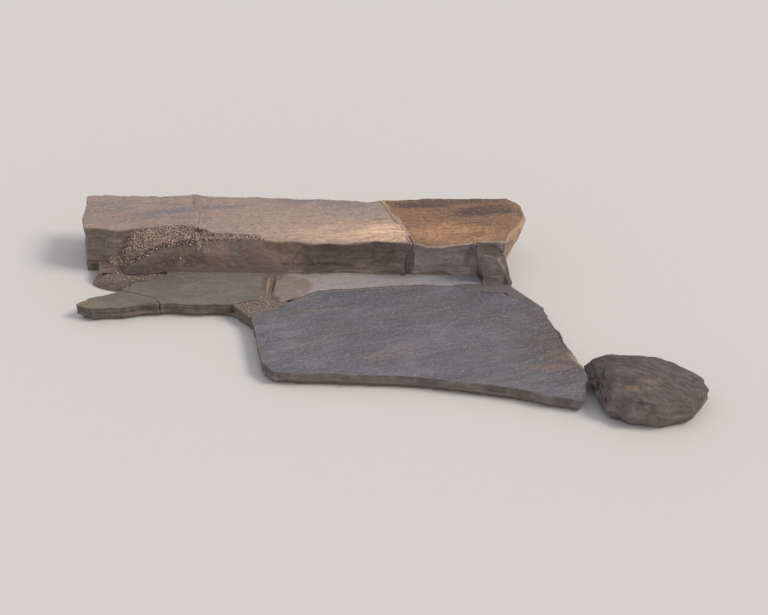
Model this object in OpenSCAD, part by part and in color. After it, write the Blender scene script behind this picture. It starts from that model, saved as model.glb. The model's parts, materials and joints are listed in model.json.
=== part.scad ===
// Outdoor stone steps: a lower tread of mortared flagstones, one rise, and an upper tread of thick
// natural-cleft slabs whose own broken faces are the riser. A low rock, a corner stone and an edging
// boulder finish the ends. Drawn with the riser's foot along y = 0, x across the steps to the right,
// y uphill and z up, then moved so that the origin is under the middle of the whole.

/* [Steps] */
// Height of one step, from the lower tread to the upper tread
step_rise = 160; // [120:5:200]
// Height of the lower tread above the ground
lower_tread_h = 65; // [60:5:100]
// Depth of the upper tread, from its nosing to its back edge
upper_tread_d = 385; // [320:5:480]
// How far the nosing stands forward of the riser's foot
nosing = 24; // [10:1:35]

/* [Upper slabs] */
// Thickness of the upper slabs
slab_t = 172; // [165:1:200]
// Width of the left slab
left_slab_w = 470; // [380:5:560]
// Width of the middle slab along its middle line
middle_slab_w = 835; // [700:5:950]
// Width of the right slab along its middle line
right_slab_w = 525; // [450:5:600]
// Distance from the left end of the upper tread to the middle of the riser
upper_left_reach = 980; // [900:5:1050]
// How far the left slab's front edge stands back from the nosing
left_slab_recess = 112; // [100:1:130]
// Width of the tight joints between the upper slabs
slab_joint_w = 7; // [5:1:14]

/* [Flagstones] */
// Thickness of the flagstones
flag_t = 45; // [40:1:55]
// Width of the main flagstone
main_flag_w = 1300; // [1150:10:1400]
// Depth of the main flagstone
main_flag_d = 812; // [700:4:900]
// Distance from the left edge of the main flagstone to the middle of the riser
main_flag_reach = 308; // [260:4:340]
// Distance from the riser's foot to the main flagstone's back edge
strip_d = 106; // [90:2:130]
// Width of the left flagstone
left_flag_w = 590; // [500:5:660]
// Depth of the left flagstone
left_flag_d = 255; // [210:5:280]
// Width of the small end flagstone
end_flag_w = 345; // [280:5:400]
// Width of the mortar joints between flagstones that lie close together
flag_joint_w = 6; // [4:1:12]
// Width of the open mortar joint between the left and the strip flagstone
wide_joint_w = 40; // [30:1:50]

/* [Mortar] */
// How deep the mortar of the joints lies under the tread
joint_depth = 6; // [3:1:10]
// How far the mortar stands back from the stones' outer edges
mortar_set = 14; // [8:1:20]

/* [End stones] */
// Length of the low rock at the riser's left end
rock_l = 545; // [500:5:590]
// Depth of the low rock
rock_d = 66; // [50:1:70]
// How far the low rock's crown lies under the upper tread
rock_drop = 4; // [0:1:20]
// Width of the corner stone at the riser's right end
corner_w = 110; // [100:5:150]
// How far the corner stone stands forward of the riser's foot
corner_out = 98; // [85:1:105]
// How far the corner stone's top lies under the upper tread
corner_drop = 6; // [0:1:20]
// How far the corner stone's top leans over to the left of its foot
corner_lean = 40; // [0:5:50]
// Width of the edging boulder
boulder_w = 470; // [360:5:560]
// Depth of the edging boulder
boulder_d = 400; // [320:5:480]
// Height of the edging boulder
boulder_h = 215; // [160:5:260]

/* [Broken faces] */
// Largest bite out of an upper slab's broken face
slab_bite = 16; // [6:1:20]
// Largest bite out of a flagstone's broken edge
flag_bite = 7; // [3:1:9]
// Height of the last cleft layer on top of each stone
cleft_h = 3; // [1:0.5:5]
// Distance between the points of a broken edge
edge_step = 62; // [50:1:90]

/* [Hidden] */

// Clearance between a stone and what lies beside it
fit = 0.3;
upper_tread_h = lower_tread_h + step_rise;
upper_bed_t = upper_tread_h - slab_t;
lower_bed_t = lower_tread_h - flag_t;

// Colours of the stones, the mortar and the gravel
PALE = [0.62, 0.56, 0.52];
BROWN = [0.46, 0.38, 0.31];
DARK = [0.33, 0.28, 0.24];
BLUE = [0.47, 0.48, 0.51];
GREEN = [0.47, 0.46, 0.41];
BEIGE = [0.60, 0.57, 0.51];
MORTAR = [0.52, 0.46, 0.39];
GRAVEL = [0.56, 0.49, 0.41];
GREY = [0.49, 0.47, 0.44];

// Points given as shares of a width and a depth, placed from a corner
function spread(shares, corner, size) = [for (s = shares) corner + [s[0] * size[0], s[1] * size[1]]];
function reversed(list) = [for (i = [len(list) - 1:-1:0]) list[i]];
function unit(v) = v / norm(v);

// Inward direction at a corner of an outline that runs anticlockwise
function inward(outline, i) =
    let (n = len(outline),
         before = unit(outline[i] - outline[(i + n - 1) % n]),
         after = unit(outline[(i + 1) % n] - outline[i]),
         mean = unit(before + after))
    [-mean[1], mean[0]];

// The outline drawn in by one distance all round, or by its own distance at each point
function inset(outline, d) =
    [for (i = [0:len(outline) - 1]) outline[i] + (is_list(d) ? d[i] : d) * inward(outline, i)];

// The outline with a point about every edge_step along its sides, each new one bitten in a little
function broken(outline, bite, seed) =
    let (n = len(outline), most = 20, chance = rands(0.15, 1, most * n, seed))
    [for (i = [0:n - 1])
        let (a = outline[i], b = outline[(i + 1) % n],
             along = unit(b - a), count = min(most, max(1, round(norm(b - a) / edge_step))))
        for (k = [0:count - 1])
            a + (b - a) * k / count + (k == 0 ? 0 : bite * chance[most * i + k]) * [-along[1], along[0]]];

// The nearest place to p on the line from a to b
function on_core(p, a, b) =
    let (span = b - a)
    a + span * max(0, min(1, ((p - a) * span) / max(1, span * span)));

// Distance from p to the nearest side of some outlines
function room(p, outlines) =
    min([for (o = outlines) for (i = [0:len(o) - 1]) norm(p - on_core(p, o[i], o[(i + 1) % len(o)]))]);

// Share of the wear that each point of an outline gets: little in the shelter of a joint, all in the open
function wear(outline, beside) =
    [for (p = outline) max(0.2, min(1, (room(p, beside) - slab_joint_w) / (3 * slab_joint_w)))];

// Above zero where the way from a over b to c turns left
function turn(a, b, c) = (b[0] - a[0]) * (c[1] - a[1]) - (b[1] - a[1]) * (c[0] - a[0]);

// Whether p lies in the triangle of a, b and c, which run anticlockwise
function covers(a, b, c, p) = turn(a, b, p) >= 0 && turn(b, c, p) >= 0 && turn(c, a, p) >= 0;

// The first corner, of those left of an outline, whose triangle can be cut off
function first_ear(outline, left, k = 0) =
    let (n = len(left), a = left[(k + n - 1) % n], b = left[k % n], c = left[(k + 1) % n])
    k >= n || (turn(outline[a], outline[b], outline[c]) > 0
        && len([for (m = left) if (m != a && m != b && m != c
            && covers(outline[a], outline[b], outline[c], outline[m])) m]) == 0)
    ? k % n : first_ear(outline, left, k + 1);

// Triangles of corner numbers that fill an outline, which runs anticlockwise
function ears(outline, left) =
    len(left) == 3 ? [left] :
    let (n = len(left), k = first_ear(outline, left))
    concat([[left[(k + n - 1) % n], left[k], left[(k + 1) % n]]],
           ears(outline, [for (m = [0:n - 1]) if (m != k) left[m]]));

// Faces that close a stack of rings from the first ring to the last one, with the outlines of those two
function skin(first, last, rings) =
    let (n = len(first), every = [for (i = [0:n - 1]) i])
    concat(
        ears(first, every),
        [for (k = [0:rings - 2]) for (i = every)
            [(k + 1) * n + i, (k + 1) * n + (i + 1) % n, k * n + (i + 1) % n]],
        [for (k = [0:rings - 2]) for (i = every)
            [(k + 1) * n + i, k * n + (i + 1) % n, k * n + i]],
        [for (t = ears(last, every)) [for (i = reversed(t)) (rings - 1) * n + i]]);

// Height of the arris of a stone, its sharpest and widest edge, where it has a share of the full wear
function arris_height(top, bite, share = 1) = top - share * (cleft_h + 0.6 * bite);

// How far a point of the front edge leans back so that its foot, with its bite, reaches the line y = foot_y
function lean(outline, i, bite, foot_y) =
    let (uphill = inward(outline, i)[1])
    uphill > 0.4 ? max(0, foot_y - 0.4 * bite * uphill - outline[i][1]) : 0;

// A split stone between two levels: an undercut foot, a bitten face with a ledge where one layer of
// the stone ends, a worn arris, and a last cleft layer on top that ends at a ragged line. A stone that
// leans to the left does so from its second ring up
module split_stone(outline, z0, z1, bite, core, seed, levels, beside, foot_y = -10000, lean_left = 0) {
    n = len(outline);
    upright = levels[1];
    worn_share = wear(outline, beside);
    arris_z = [for (share = worn_share) arris_height(z1, bite, share)];
    chance = rands(0, 1, n * (len(levels) + 1), seed);
    walls = [for (k = [0:len(levels) - 1]) for (i = [0:n - 1])
        let (p = outline[i] + (0.4 + 0.6 * chance[k * n + i]) * bite * inward(outline, i)
                 + [0, (1 - levels[k]) * lean(outline, i, bite, foot_y)])
        [p[0] - lean_left * max(0, levels[k] - upright) / (1 - upright), p[1],
         z0 + levels[k] * (arris_z[i] - z0)]];
    arris = [for (i = [0:n - 1]) [outline[i][0] - lean_left, outline[i][1], arris_z[i]]];
    worn_plan = inset(outline, 0.6 * bite * worn_share);
    worn = [for (i = [0:n - 1]) [worn_plan[i][0] - lean_left, worn_plan[i][1], z1 - worn_share[i] * cleft_h]];
    cleft = [for (step = [[0, -cleft_h], [0.02, 0]]) for (i = [0:n - 1])
        let (share = 0.1 + 0.2 * chance[len(levels) * n + i] + step[0],
             p = outline[i] + share * (on_core(outline[i], core[0], core[1]) - outline[i]))
        [p[0] - lean_left, p[1], z1 + worn_share[i] * step[1]]];
    foot = [for (i = [0:n - 1]) walls[i]];
    crown = [for (i = [0:n - 1]) cleft[n + i]];
    polyhedron(concat(walls, arris, worn, cleft), skin(foot, crown, len(levels) + 4), convexity = 6);
}

// Heights of the rings of a broken face as shares: a flagstone's edge is plain, a slab's has ledges
EDGE_LEVELS = [0, 0.5];
FACE_LEVELS = [0, 0.27, 0.33, 0.64, 0.7];

// Places of the upper slabs: the nosing line, the joints and the ends
nosing_y = -nosing;
// The slabs' feet and the low rock's foot stand just behind the riser's foot line
foot_set = 2;
left_slab_x = -upper_left_reach;
middle_slab_x = left_slab_x + left_slab_w;
right_slab_x = middle_slab_x + middle_slab_w;

// The joints between the upper slabs, from the front back
left_joint = spread([[0, left_slab_recess / upper_tread_d], [0.012, 0.55], [0, 1]],
                    [middle_slab_x, nosing_y], [middle_slab_w, upper_tread_d]);
leaning_joint = spread([[0.058, -0.01], [0.03, 0.32], [-0.02, 0.64], [-0.055, 0.9]],
                       [right_slab_x, nosing_y], [middle_slab_w, upper_tread_d]);

left_slab_plan = broken(inset(concat(
    spread([[0, 0], [0.28, -0.08], [0.6, 0.02], [0.85, 0.07]],
           [left_slab_x, nosing_y + left_slab_recess], [left_slab_w, upper_tread_d - left_slab_recess]),
    left_joint,
    spread([[0.55, 0.985], [0.2, 1], [0.02, 0.97], [-0.012, 0.5]],
           [left_slab_x, nosing_y], [left_slab_w, upper_tread_d])), slab_joint_w / 2), flag_bite, 11);

// The middle slab's broken front-left corner, which the low rock follows
middle_corner = concat([left_joint[0]],
    spread([[0.075, 0.19], [0.19, 0.15], [0.295, 0.13]],
           [middle_slab_x, nosing_y], [middle_slab_w, upper_tread_d]));

middle_slab_plan = broken(inset(concat(
    middle_corner,
    spread([[0.32, 0.03], [0.48, 0.035], [0.57, -0.01], [0.715, -0.02], [0.8, 0.02], [0.94, 0.03]],
           [middle_slab_x, nosing_y], [middle_slab_w, upper_tread_d]),
    leaning_joint,
    spread([[0.3, 1.01]], [middle_slab_x, nosing_y], [middle_slab_w, upper_tread_d]),
    [left_joint[2], left_joint[1]]), slab_joint_w / 2), flag_bite, 12);

right_slab_plan = broken(inset(concat(
    reversed(leaning_joint),
    spread([[0.2, -0.068], [0.32, -0.068], [0.47, 0], [0.57, 0.05], [0.66, 0.07], [0.86, 0.08], [0.95, 0.36],
            [1, 0.62], [0.99, 0.84], [0.95, 0.99], [0.3, 1]],
           [right_slab_x, nosing_y], [right_slab_w, upper_tread_d])), slab_joint_w / 2), flag_bite, 13);

left_slab_core = spread([[0.25, 0.6], [0.75, 0.62]], [left_slab_x, nosing_y], [left_slab_w, upper_tread_d]);
middle_slab_core = spread([[0.25, 0.5], [0.8, 0.48]],
                          [middle_slab_x, nosing_y], [middle_slab_w, upper_tread_d]);
right_slab_core = spread([[0.3, 0.5], [0.75, 0.55]], [right_slab_x, nosing_y], [right_slab_w, upper_tread_d]);

module upper_slab(plan, core, seed, beside) {
    place()
        split_stone(plan, upper_bed_t, upper_tread_h, slab_bite, core, seed, FACE_LEVELS, beside, foot_set);
}

module left_upper_slab() {
    color(PALE) upper_slab(left_slab_plan, left_slab_core, 21, [middle_slab_plan]);
}

module middle_upper_slab() {
    color(PALE) upper_slab(middle_slab_plan, middle_slab_core, 22, [left_slab_plan, right_slab_plan]);
}

module right_upper_slab() {
    color(BROWN) upper_slab(right_slab_plan, right_slab_core, 23, [middle_slab_plan]);
}

// The low rock in front of the left slab, which ends against the middle slab's broken corner
rock_x1 = middle_corner[3][0] - slab_joint_w;
rock_x0 = rock_x1 - rock_l;
rock_top = upper_tread_h - rock_drop;

// Sections from the rock's buried left end to its right end: share of the length, of the depth to
// the front, of the depth to the back, and of the height
rock_shares = [
    [0, -0.1, 0.6, 0.1], [0.046, -0.3, 0.8, 0.32], [0.15, -0.34, 1, 0.56], [0.3, 0, 1, 0.76],
    [0.45, 0, 1, 0.84], [0.75, 0, 0.98, 0.94], [0.93, 0, 0.95, 1], [1, 0.02, 0.9, 0.97]
];
rock_sections = [for (s = rock_shares)
    let (x = rock_x0 + s[0] * rock_l)
    [x, foot_set + s[1] * rock_d,
     min(foot_set + s[2] * rock_d, lookup(x, middle_corner) - slab_joint_w), s[3]]];

// Shape of one section, from the foot of its back over its crown to its foot
rock_profile = [
    [1, 0], [1, 0.35], [0.98, 0.7], [0.78, 0.94], [0.5, 1], [0.26, 0.98], [0.08, 0.86], [0.02, 0.62],
    [0, 0.3], [0, 0]
];
rock_plan = concat([for (s = rock_sections) [s[0], s[1]]], [for (s = reversed(rock_sections)) [s[0], s[2]]]);

module low_riser_rock() {
    points = [for (s = rock_sections) for (p = rock_profile)
        [s[0], s[1] + p[0] * (s[2] - s[1]), upper_bed_t + p[1] * s[3] * (rock_top - upper_bed_t)]];
    color(DARK) place()
        polyhedron(points, skin(rock_profile, rock_profile, len(rock_sections)), convexity = 4);
}

// Places of the flagstones and the corner stone
main_flag_x = -main_flag_reach;
strip_x = main_flag_x + 0.09 * main_flag_w;
left_flag_x = strip_x - wide_joint_w - left_flag_w;
corner_x = strip_x + 0.662 * main_flag_w;

// The main flagstone's back edge, from left to right, which the strip flagstone follows
main_back = spread([[0, -0.3], [0.03, -0.23], [0.12, -0.155], [0.214, -0.053], [0.48, 0], [0.64, 0],
                    [0.82, -0.047]],
                   [main_flag_x, -strip_d], [main_flag_w, main_flag_d]);
// Its right edge, from the front back
main_side = spread([[1, -0.76], [0.986, -0.674], [0.958, -0.415], [0.93, -0.22]],
                   [main_flag_x, -strip_d], [main_flag_w, main_flag_d]);
// The slanting joint between the left and the end flagstone, from the front back
end_joint = spread([[0.265, -0.96], [0.22, -0.76], [0, -0.56]], [left_flag_x, 0], [left_flag_w, left_flag_d]);

main_flag_plan = broken(inset(concat(
    spread([[0.01, -0.5], [0.015, -0.68], [0.052, -0.758], [0.134, -0.764], [0.358, -0.785], [0.558, -0.825],
            [0.715, -0.88], [0.866, -0.96], [0.962, -1], [0.982, -0.92]],
           [main_flag_x, -strip_d], [main_flag_w, main_flag_d]),
    main_side, reversed(main_back)), flag_joint_w / 2), flag_bite, 31);

strip_flag_plan = broken(inset(concat(
    [for (i = [2:5]) main_back[i]],
    spread([[0.662, -0.85], [0.655, -0.25], [0.45, -0.08], [0.225, -0.02], [0.045, -0.06], [0.02, -0.38],
            [0, -1.75]],
           [strip_x, 0], [main_flag_w, strip_d])), flag_joint_w / 2), flag_bite, 32);

// The left flagstone's front edge, from left to right
left_front = spread([[0.54, -1], [0.74, -1], [0.93, -0.86]], [left_flag_x, 0], [left_flag_w, left_flag_d]);

left_flag_plan = broken(inset(concat(
    reversed(end_joint),
    left_front,
    spread([[0.975, -0.56], [1, -0.06], [0.97, -0.02], [0.44, -0.02], [0.32, -0.04], [0.07, -0.27]],
           [left_flag_x, 0], [left_flag_w, left_flag_d])), flag_joint_w / 2), flag_bite, 33);

end_flag_plan = broken(inset(concat(
    end_joint,
    spread([[0.17, -0.76], [0, -0.97], [0.21, -1.12], [0.6, -1.07]],
           [end_joint[0][0] - end_flag_w, 0], [end_flag_w, left_flag_d])), flag_joint_w / 2), flag_bite, 34);

corner_plan = broken(
    spread([[0, 0.06], [0.3, -0.02], [0.82, 0], [1, 0.3], [0.96, 0.93], [0.5, 1], [0.16, 0.96]],
           [corner_x + fit, -corner_out], [corner_w, corner_out - fit]), flag_bite, 35);

main_flag_core = spread([[0.25, -0.42], [0.75, -0.5]], [main_flag_x, -strip_d], [main_flag_w, main_flag_d]);
strip_core = spread([[0.12, -0.7], [0.55, -0.5]], [strip_x, 0], [main_flag_w, strip_d]);
left_flag_core = spread([[0.35, -0.6], [0.75, -0.5]], [left_flag_x, 0], [left_flag_w, left_flag_d]);
end_flag_core = spread([[0.35, -0.95], [0.75, -0.85]],
                       [end_joint[0][0] - end_flag_w, 0], [end_flag_w, left_flag_d]);
corner_core = spread([[0.4, 0.5], [0.6, 0.5]], [corner_x, -corner_out], [corner_w, corner_out]);

module flagstone(plan, core, seed, beside) {
    place() split_stone(plan, lower_bed_t, lower_tread_h, flag_bite, core, seed, EDGE_LEVELS, beside);
}

module main_flagstone() { color(BLUE) flagstone(main_flag_plan, main_flag_core, 41, [strip_flag_plan]); }
module strip_flagstone() { color(BEIGE) flagstone(strip_flag_plan, strip_core, 42, [main_flag_plan]); }
module left_flagstone() { color(GREEN) flagstone(left_flag_plan, left_flag_core, 43, [end_flag_plan]); }
module end_flagstone() { color(GREEN) flagstone(end_flag_plan, end_flag_core, 44, [left_flag_plan]); }

module corner_stone() {
    color(DARK) place()
        split_stone(corner_plan, lower_bed_t, upper_tread_h - corner_drop, flag_bite, corner_core, 24,
                    FACE_LEVELS, [right_slab_plan], lean_left = corner_lean);
}

// Several outlines joined, with the gaps between them closed, drawn in by set_back
module joined(gap, set_back) {
    offset(r = -gap - set_back, $fn = 20) offset(delta = gap) children();
}

module plans(list, clearance = 0) {
    for (plan = list) offset(delta = clearance) polygon(plan);
}

lower_plans = [main_flag_plan, strip_flag_plan, left_flag_plan, end_flag_plan, corner_plan];
slab_plans = [left_slab_plan, middle_slab_plan, right_slab_plan];

// A strip along the riser's foot, on one side of it, that the mortar fills up to the line y = edge
module foot_strip(edge, side) {
    x0 = left_flag_x + 0.3 * left_flag_w;
    x1 = corner_x + fit;
    far_y = edge + side * mortar_set;
    near_y = edge - side * strip_d / 2;
    polygon([[x0, near_y], [x1, near_y], [x1, far_y], [x0, far_y]]);
}

// The wedge of mortar from the corner stone's foot along the main flagstone's back edge
module apron_2d() {
    polygon([[corner_x + corner_w, -0.7 * corner_out], [corner_x, -0.3 * corner_out], main_back[5],
             main_back[6], main_side[3], main_side[3] + [mortar_set, mortar_set]]);
}

// The triangle of mortar at the front end of the wide joint
module joint_mouth_2d() {
    polygon([left_front[1], main_back[0], main_back[1], main_back[2], left_front[2]]);
}

// The bed under the lower tread, with its joints raised between the stones
module lower_mortar() {
    color(MORTAR) place() difference() {
        linear_extrude(lower_tread_h - joint_depth) joined(wide_joint_w, mortar_set) {
            plans(lower_plans);
            foot_strip(0, 1);
            apron_2d();
            joint_mouth_2d();
        }
        translate([0, 0, lower_bed_t]) linear_extrude(lower_tread_h) plans(lower_plans, fit);
    }
}

// All that lies uphill of the line y = edge
module uphill_of(edge) {
    translate([left_slab_x - upper_tread_d, edge])
        square([left_slab_w + middle_slab_w + right_slab_w + 2 * upper_tread_d, 2 * upper_tread_d]);
}

module upper_bed() {
    color(MORTAR) place() linear_extrude(upper_bed_t) intersection() {
        joined(wide_joint_w, mortar_set) {
            plans(slab_plans);
            polygon(rock_plan);
            foot_strip(fit, -1);
        }
        uphill_of(fit);
    }
}

module upper_slab_joints() {
    color(MORTAR) place() translate([0, 0, upper_bed_t]) linear_extrude(slab_t - joint_depth)
        difference() {
            joined(slab_joint_w / 2 + flag_bite, slab_bite + nosing) plans(slab_plans);
            plans(slab_plans, fit);
        }
}

// Gravel between the low rock's back and the left slab, which slopes down to the left
module gravel_pocket() {
    back_y = nosing_y + 1.2 * left_slab_recess;
    x0 = rock_x0 + 0.1 * rock_l;
    top = rock_top - joint_depth;
    slope = [[x0, upper_bed_t], [rock_x1, upper_bed_t], [rock_x1, top], [x0 + 0.4 * rock_l, top],
             [x0, upper_bed_t + 0.4 * (top - upper_bed_t)]];
    color(GRAVEL) place() intersection() {
        linear_extrude(upper_tread_h) offset(delta = slab_joint_w / 2) offset(delta = -slab_joint_w / 2)
            difference() {
                polygon([[x0, foot_set + rock_d / 2], [rock_x1, foot_set], [middle_slab_x, back_y],
                         [x0, back_y]]);
                plans(concat(slab_plans, [rock_plan]), fit);
            }
        translate([0, back_y, 0]) rotate([90, 0, 0]) linear_extrude(back_y) polygon(slope);
    }
}

// The edging boulder, which bears against the tip of the main flagstone's right edge
main_reach = max([for (p = main_flag_plan) p[0]]);
main_tip = [for (p = main_flag_plan) if (p[0] == main_reach) p][0] + [fit, 0];
boulder_plan = spread([[0, 0.13], [0, 0], [0, -0.12], [0.015, -0.4], [0.05, -0.6], [0.22, -0.74],
                       [0.5, -0.78], [0.8, -0.7], [0.97, -0.42], [1, -0.12], [0.86, 0.1], [0.6, 0.2],
                       [0.25, 0.22]],
                      main_tip, [boulder_w, boulder_d]);
// Rings from the foot to the crown: share of the height, share of the plan, and how far the ring's
// middle lies to the right and uphill, as shares of the width and the depth
boulder_rings = [
    [0, 0.88, 0, 0], [0.12, 0.96, 0, 0], [arris_height(lower_tread_h, flag_bite) / boulder_h, 1, 0, 0],
    [0.52, 0.94, 0.01, 0.01], [0.74, 0.8, 0.03, 0.03], [0.9, 0.63, 0.04, 0.05], [1, 0.4, 0.02, 0.04]
];

module edging_boulder() {
    plan = broken(boulder_plan, 2 * flag_bite, 36);
    n = len(plan);
    middle = spread([[0.5, -0.28]], main_tip, [boulder_w, boulder_d])[0];
    chance = rands(-0.07, 0, n * len(boulder_rings), 25);
    points = [for (k = [0:len(boulder_rings) - 1]) for (i = [0:n - 1])
        let (ring = boulder_rings[k], share = ring[1] + (ring[1] == 1 ? 0 : chance[k * n + i]),
             p = middle + [ring[2] * boulder_w, ring[3] * boulder_d] + share * (plan[i] - middle))
        [p[0], p[1], ring[0] * boulder_h]];
    foot = [for (i = [0:n - 1]) points[i]];
    crown = [for (i = [0:n - 1]) points[(len(boulder_rings) - 1) * n + i]];
    color(GREY) place() polyhedron(points, skin(foot, crown, len(boulder_rings)), convexity = 4);
}

// The origin lies under the middle of the whole, between the outermost stones
every_plan = [for (plan = concat(lower_plans, slab_plans, [rock_plan, boulder_plan])) each plan];
xs = [for (p = every_plan) p[0]];
ys = [for (p = every_plan) p[1]];
module place() {
    translate([-(min(xs) + max(xs)) / 2, -(min(ys) + max(ys)) / 2, 0]) children();
}

left_upper_slab();
middle_upper_slab();
right_upper_slab();
upper_slab_joints();
upper_bed();
low_riser_rock();
gravel_pocket();
corner_stone();
main_flagstone();
strip_flagstone();
left_flagstone();
end_flagstone();
lower_mortar();
edging_boulder();
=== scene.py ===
"""Looks of the outdoor stone steps: worn, cleft stones, sandy mortar and loose gravel.

Each stone is remeshed from its own solid, its edges are rounded, and its surface is split into the
layers, fractures and chips of natural cleft stone. Lengths are in metres unless a name ends in _mm.
"""

import json
import logging
import math
from collections.abc import Callable
from dataclasses import dataclass
from enum import Enum

import bpy
import numpy as np
from mathutils import Matrix, Vector, noise
from mathutils.bvhtree import BVHTree
from mathutils.kdtree import KDTree

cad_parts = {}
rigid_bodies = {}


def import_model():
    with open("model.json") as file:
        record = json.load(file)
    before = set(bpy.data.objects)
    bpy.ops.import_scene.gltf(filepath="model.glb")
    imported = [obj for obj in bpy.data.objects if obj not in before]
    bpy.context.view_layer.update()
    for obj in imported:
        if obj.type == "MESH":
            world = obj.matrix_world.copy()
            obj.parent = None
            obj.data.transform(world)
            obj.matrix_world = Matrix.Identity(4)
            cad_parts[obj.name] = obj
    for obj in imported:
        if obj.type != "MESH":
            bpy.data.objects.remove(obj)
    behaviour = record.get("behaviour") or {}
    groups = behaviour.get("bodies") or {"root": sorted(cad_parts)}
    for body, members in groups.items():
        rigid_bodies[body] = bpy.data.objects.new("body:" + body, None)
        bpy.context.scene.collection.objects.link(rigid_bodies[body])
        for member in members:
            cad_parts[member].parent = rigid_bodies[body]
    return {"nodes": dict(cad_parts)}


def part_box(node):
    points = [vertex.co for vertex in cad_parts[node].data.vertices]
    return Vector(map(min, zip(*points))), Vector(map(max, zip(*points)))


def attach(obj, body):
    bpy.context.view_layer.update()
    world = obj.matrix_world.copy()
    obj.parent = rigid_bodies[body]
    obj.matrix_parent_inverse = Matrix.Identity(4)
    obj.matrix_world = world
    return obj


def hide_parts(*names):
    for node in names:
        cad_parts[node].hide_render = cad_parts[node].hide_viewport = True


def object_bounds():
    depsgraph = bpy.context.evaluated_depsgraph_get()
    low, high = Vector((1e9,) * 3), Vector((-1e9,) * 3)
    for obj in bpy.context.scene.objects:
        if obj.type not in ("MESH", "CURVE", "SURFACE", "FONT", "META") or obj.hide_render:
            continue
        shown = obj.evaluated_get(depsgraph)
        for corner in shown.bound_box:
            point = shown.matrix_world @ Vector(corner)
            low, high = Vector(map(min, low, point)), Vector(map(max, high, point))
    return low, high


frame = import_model()
cad_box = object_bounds()

log = logging.getLogger("stone_steps")

MM = 0.001
Points = np.ndarray
Span = tuple[float, float]
Size = tuple[float, float, float]
Inputs = dict[str | int, object]
Shaping = Callable[[Points], Points]
Tree = bpy.types.NodeTree
Socket = bpy.types.NodeSocket

# Every stone, whose neighbours shelter it from wear
STONES = (
    "left_upper_slab", "middle_upper_slab", "right_upper_slab", "low_riser_rock", "corner_stone",
    "main_flagstone", "strip_flagstone", "left_flagstone", "end_flagstone", "edging_boulder",
)


class Slot(Enum):
    """Material slots of the record."""

    PALE_QUARTZITE = "pale_quartzite"
    BROWN_QUARTZITE = "brown_quartzite"
    DARK_FIELDSTONE = "dark_fieldstone"
    BLUE_GREY_FLAGSTONE = "blue_grey_flagstone"
    BEIGE_FLAGSTONE = "beige_flagstone"
    GREEN_GREY_FLAGSTONE = "green_grey_flagstone"
    GREY_BOULDER = "grey_boulder"
    MORTAR = "mortar"
    GRAVEL = "gravel"


class Trace(Enum):
    """Values that the sculpting leaves on each point, for the material to read."""

    UPPER = "upper"
    WORN = "worn"
    RECESS = "recess"
    TONE = "tone"


# Sockets of the colour Mix node, whose names repeat
MIX_FACTOR = 0
MIX_BELOW = 6
MIX_ABOVE = 7
MIX_RESULT = 2

# Most of a noise texture's values lie within this reach round their middle
NOISE_MIDDLE = 0.5
NOISE_REACH = 0.4

# Size of the tears in a zone's border
TORN_MM = (45, 45, 45)


def linear(colour: str) -> tuple[float, float, float, float]:
    """Linear light of an sRGB hex colour.

    Args:
        colour: Six hex digits after a hash sign.

    Returns:
        Red, green, blue and alpha.
    """
    channels = [int(colour[i:i + 2], 16) / 255 for i in (1, 3, 5)]
    light = [c / 12.92 if c <= 0.04045 else ((c + 0.055) / 1.055) ** 2.4 for c in channels]
    return (light[0], light[1], light[2], 1.0)


def add(tree: Tree, kind: str, settings: dict[str, object], inputs: Inputs) -> bpy.types.Node:
    """Adds a node to a material.

    Args:
        tree: The node tree that takes the node.
        kind: The node's type name.
        settings: Properties of the node and their values.
        inputs: Values or sockets for the node's inputs, by name or by number.

    Returns:
        The new node.
    """
    node = tree.nodes.new(kind)
    for name, value in settings.items():
        setattr(node, name, value)
    for name, value in inputs.items():
        if isinstance(value, bpy.types.NodeSocket):
            tree.links.new(value, node.inputs[name])
        else:
            node.inputs[name].default_value = value
    return node


def mix(tree: Tree, share: object, below: object, above: object) -> Socket:
    """A colour laid over another one, as thickly as the share says."""
    return add(tree, "ShaderNodeMix", {"data_type": "RGBA"}, {
        MIX_FACTOR: share, MIX_BELOW: below, MIX_ABOVE: above}).outputs[MIX_RESULT]


def calculate(tree: Tree, operation: str, *values: object) -> Socket:
    """The result of one operation on values or sockets."""
    return add(tree, "ShaderNodeMath", {"operation": operation}, dict(enumerate(values))).outputs[0]


def blank_material(name: str) -> bpy.types.Material:
    """A new material whose node tree is still empty."""
    material = bpy.data.materials.new(name)
    material.use_nodes = True
    material.node_tree.nodes.clear()
    return material


def surface(tree: Tree, inputs: Inputs) -> None:
    """Ends a material's node tree in its shader.

    Args:
        tree: The material's node tree.
        inputs: Values or sockets for the shader's inputs, by name.
    """
    shader = add(tree, "ShaderNodeBsdfPrincipled", {}, inputs)
    add(tree, "ShaderNodeOutputMaterial", {}, {"Surface": shader.outputs["BSDF"]})


@dataclass(frozen=True)
class Zone:
    """The part of a stone that a veil keeps to, as an ellipsoid that fades out at its border."""

    centre: Size
    reach: Size
    turn_deg: Size = (0.0, 0.0, 0.0)
    fade: float = 0.6
    ragged: float = 0.5


@dataclass(frozen=True)
class Veil:
    """A thin cover of another colour: a cloud, a streak or specks, by its size."""

    colour: str
    size_mm: Size
    cover: float
    softness: float
    strength: float
    seed: float = 0.0
    detail: float = 4.0
    zone: Zone | None = None
    warp: float = 0.0
    turn_deg: float | None = None


@dataclass(frozen=True)
class Grit:
    """Fine unevenness, too small for the mesh."""

    size_mm: Size
    height_mm: float
    detail: float = 4.0


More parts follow.
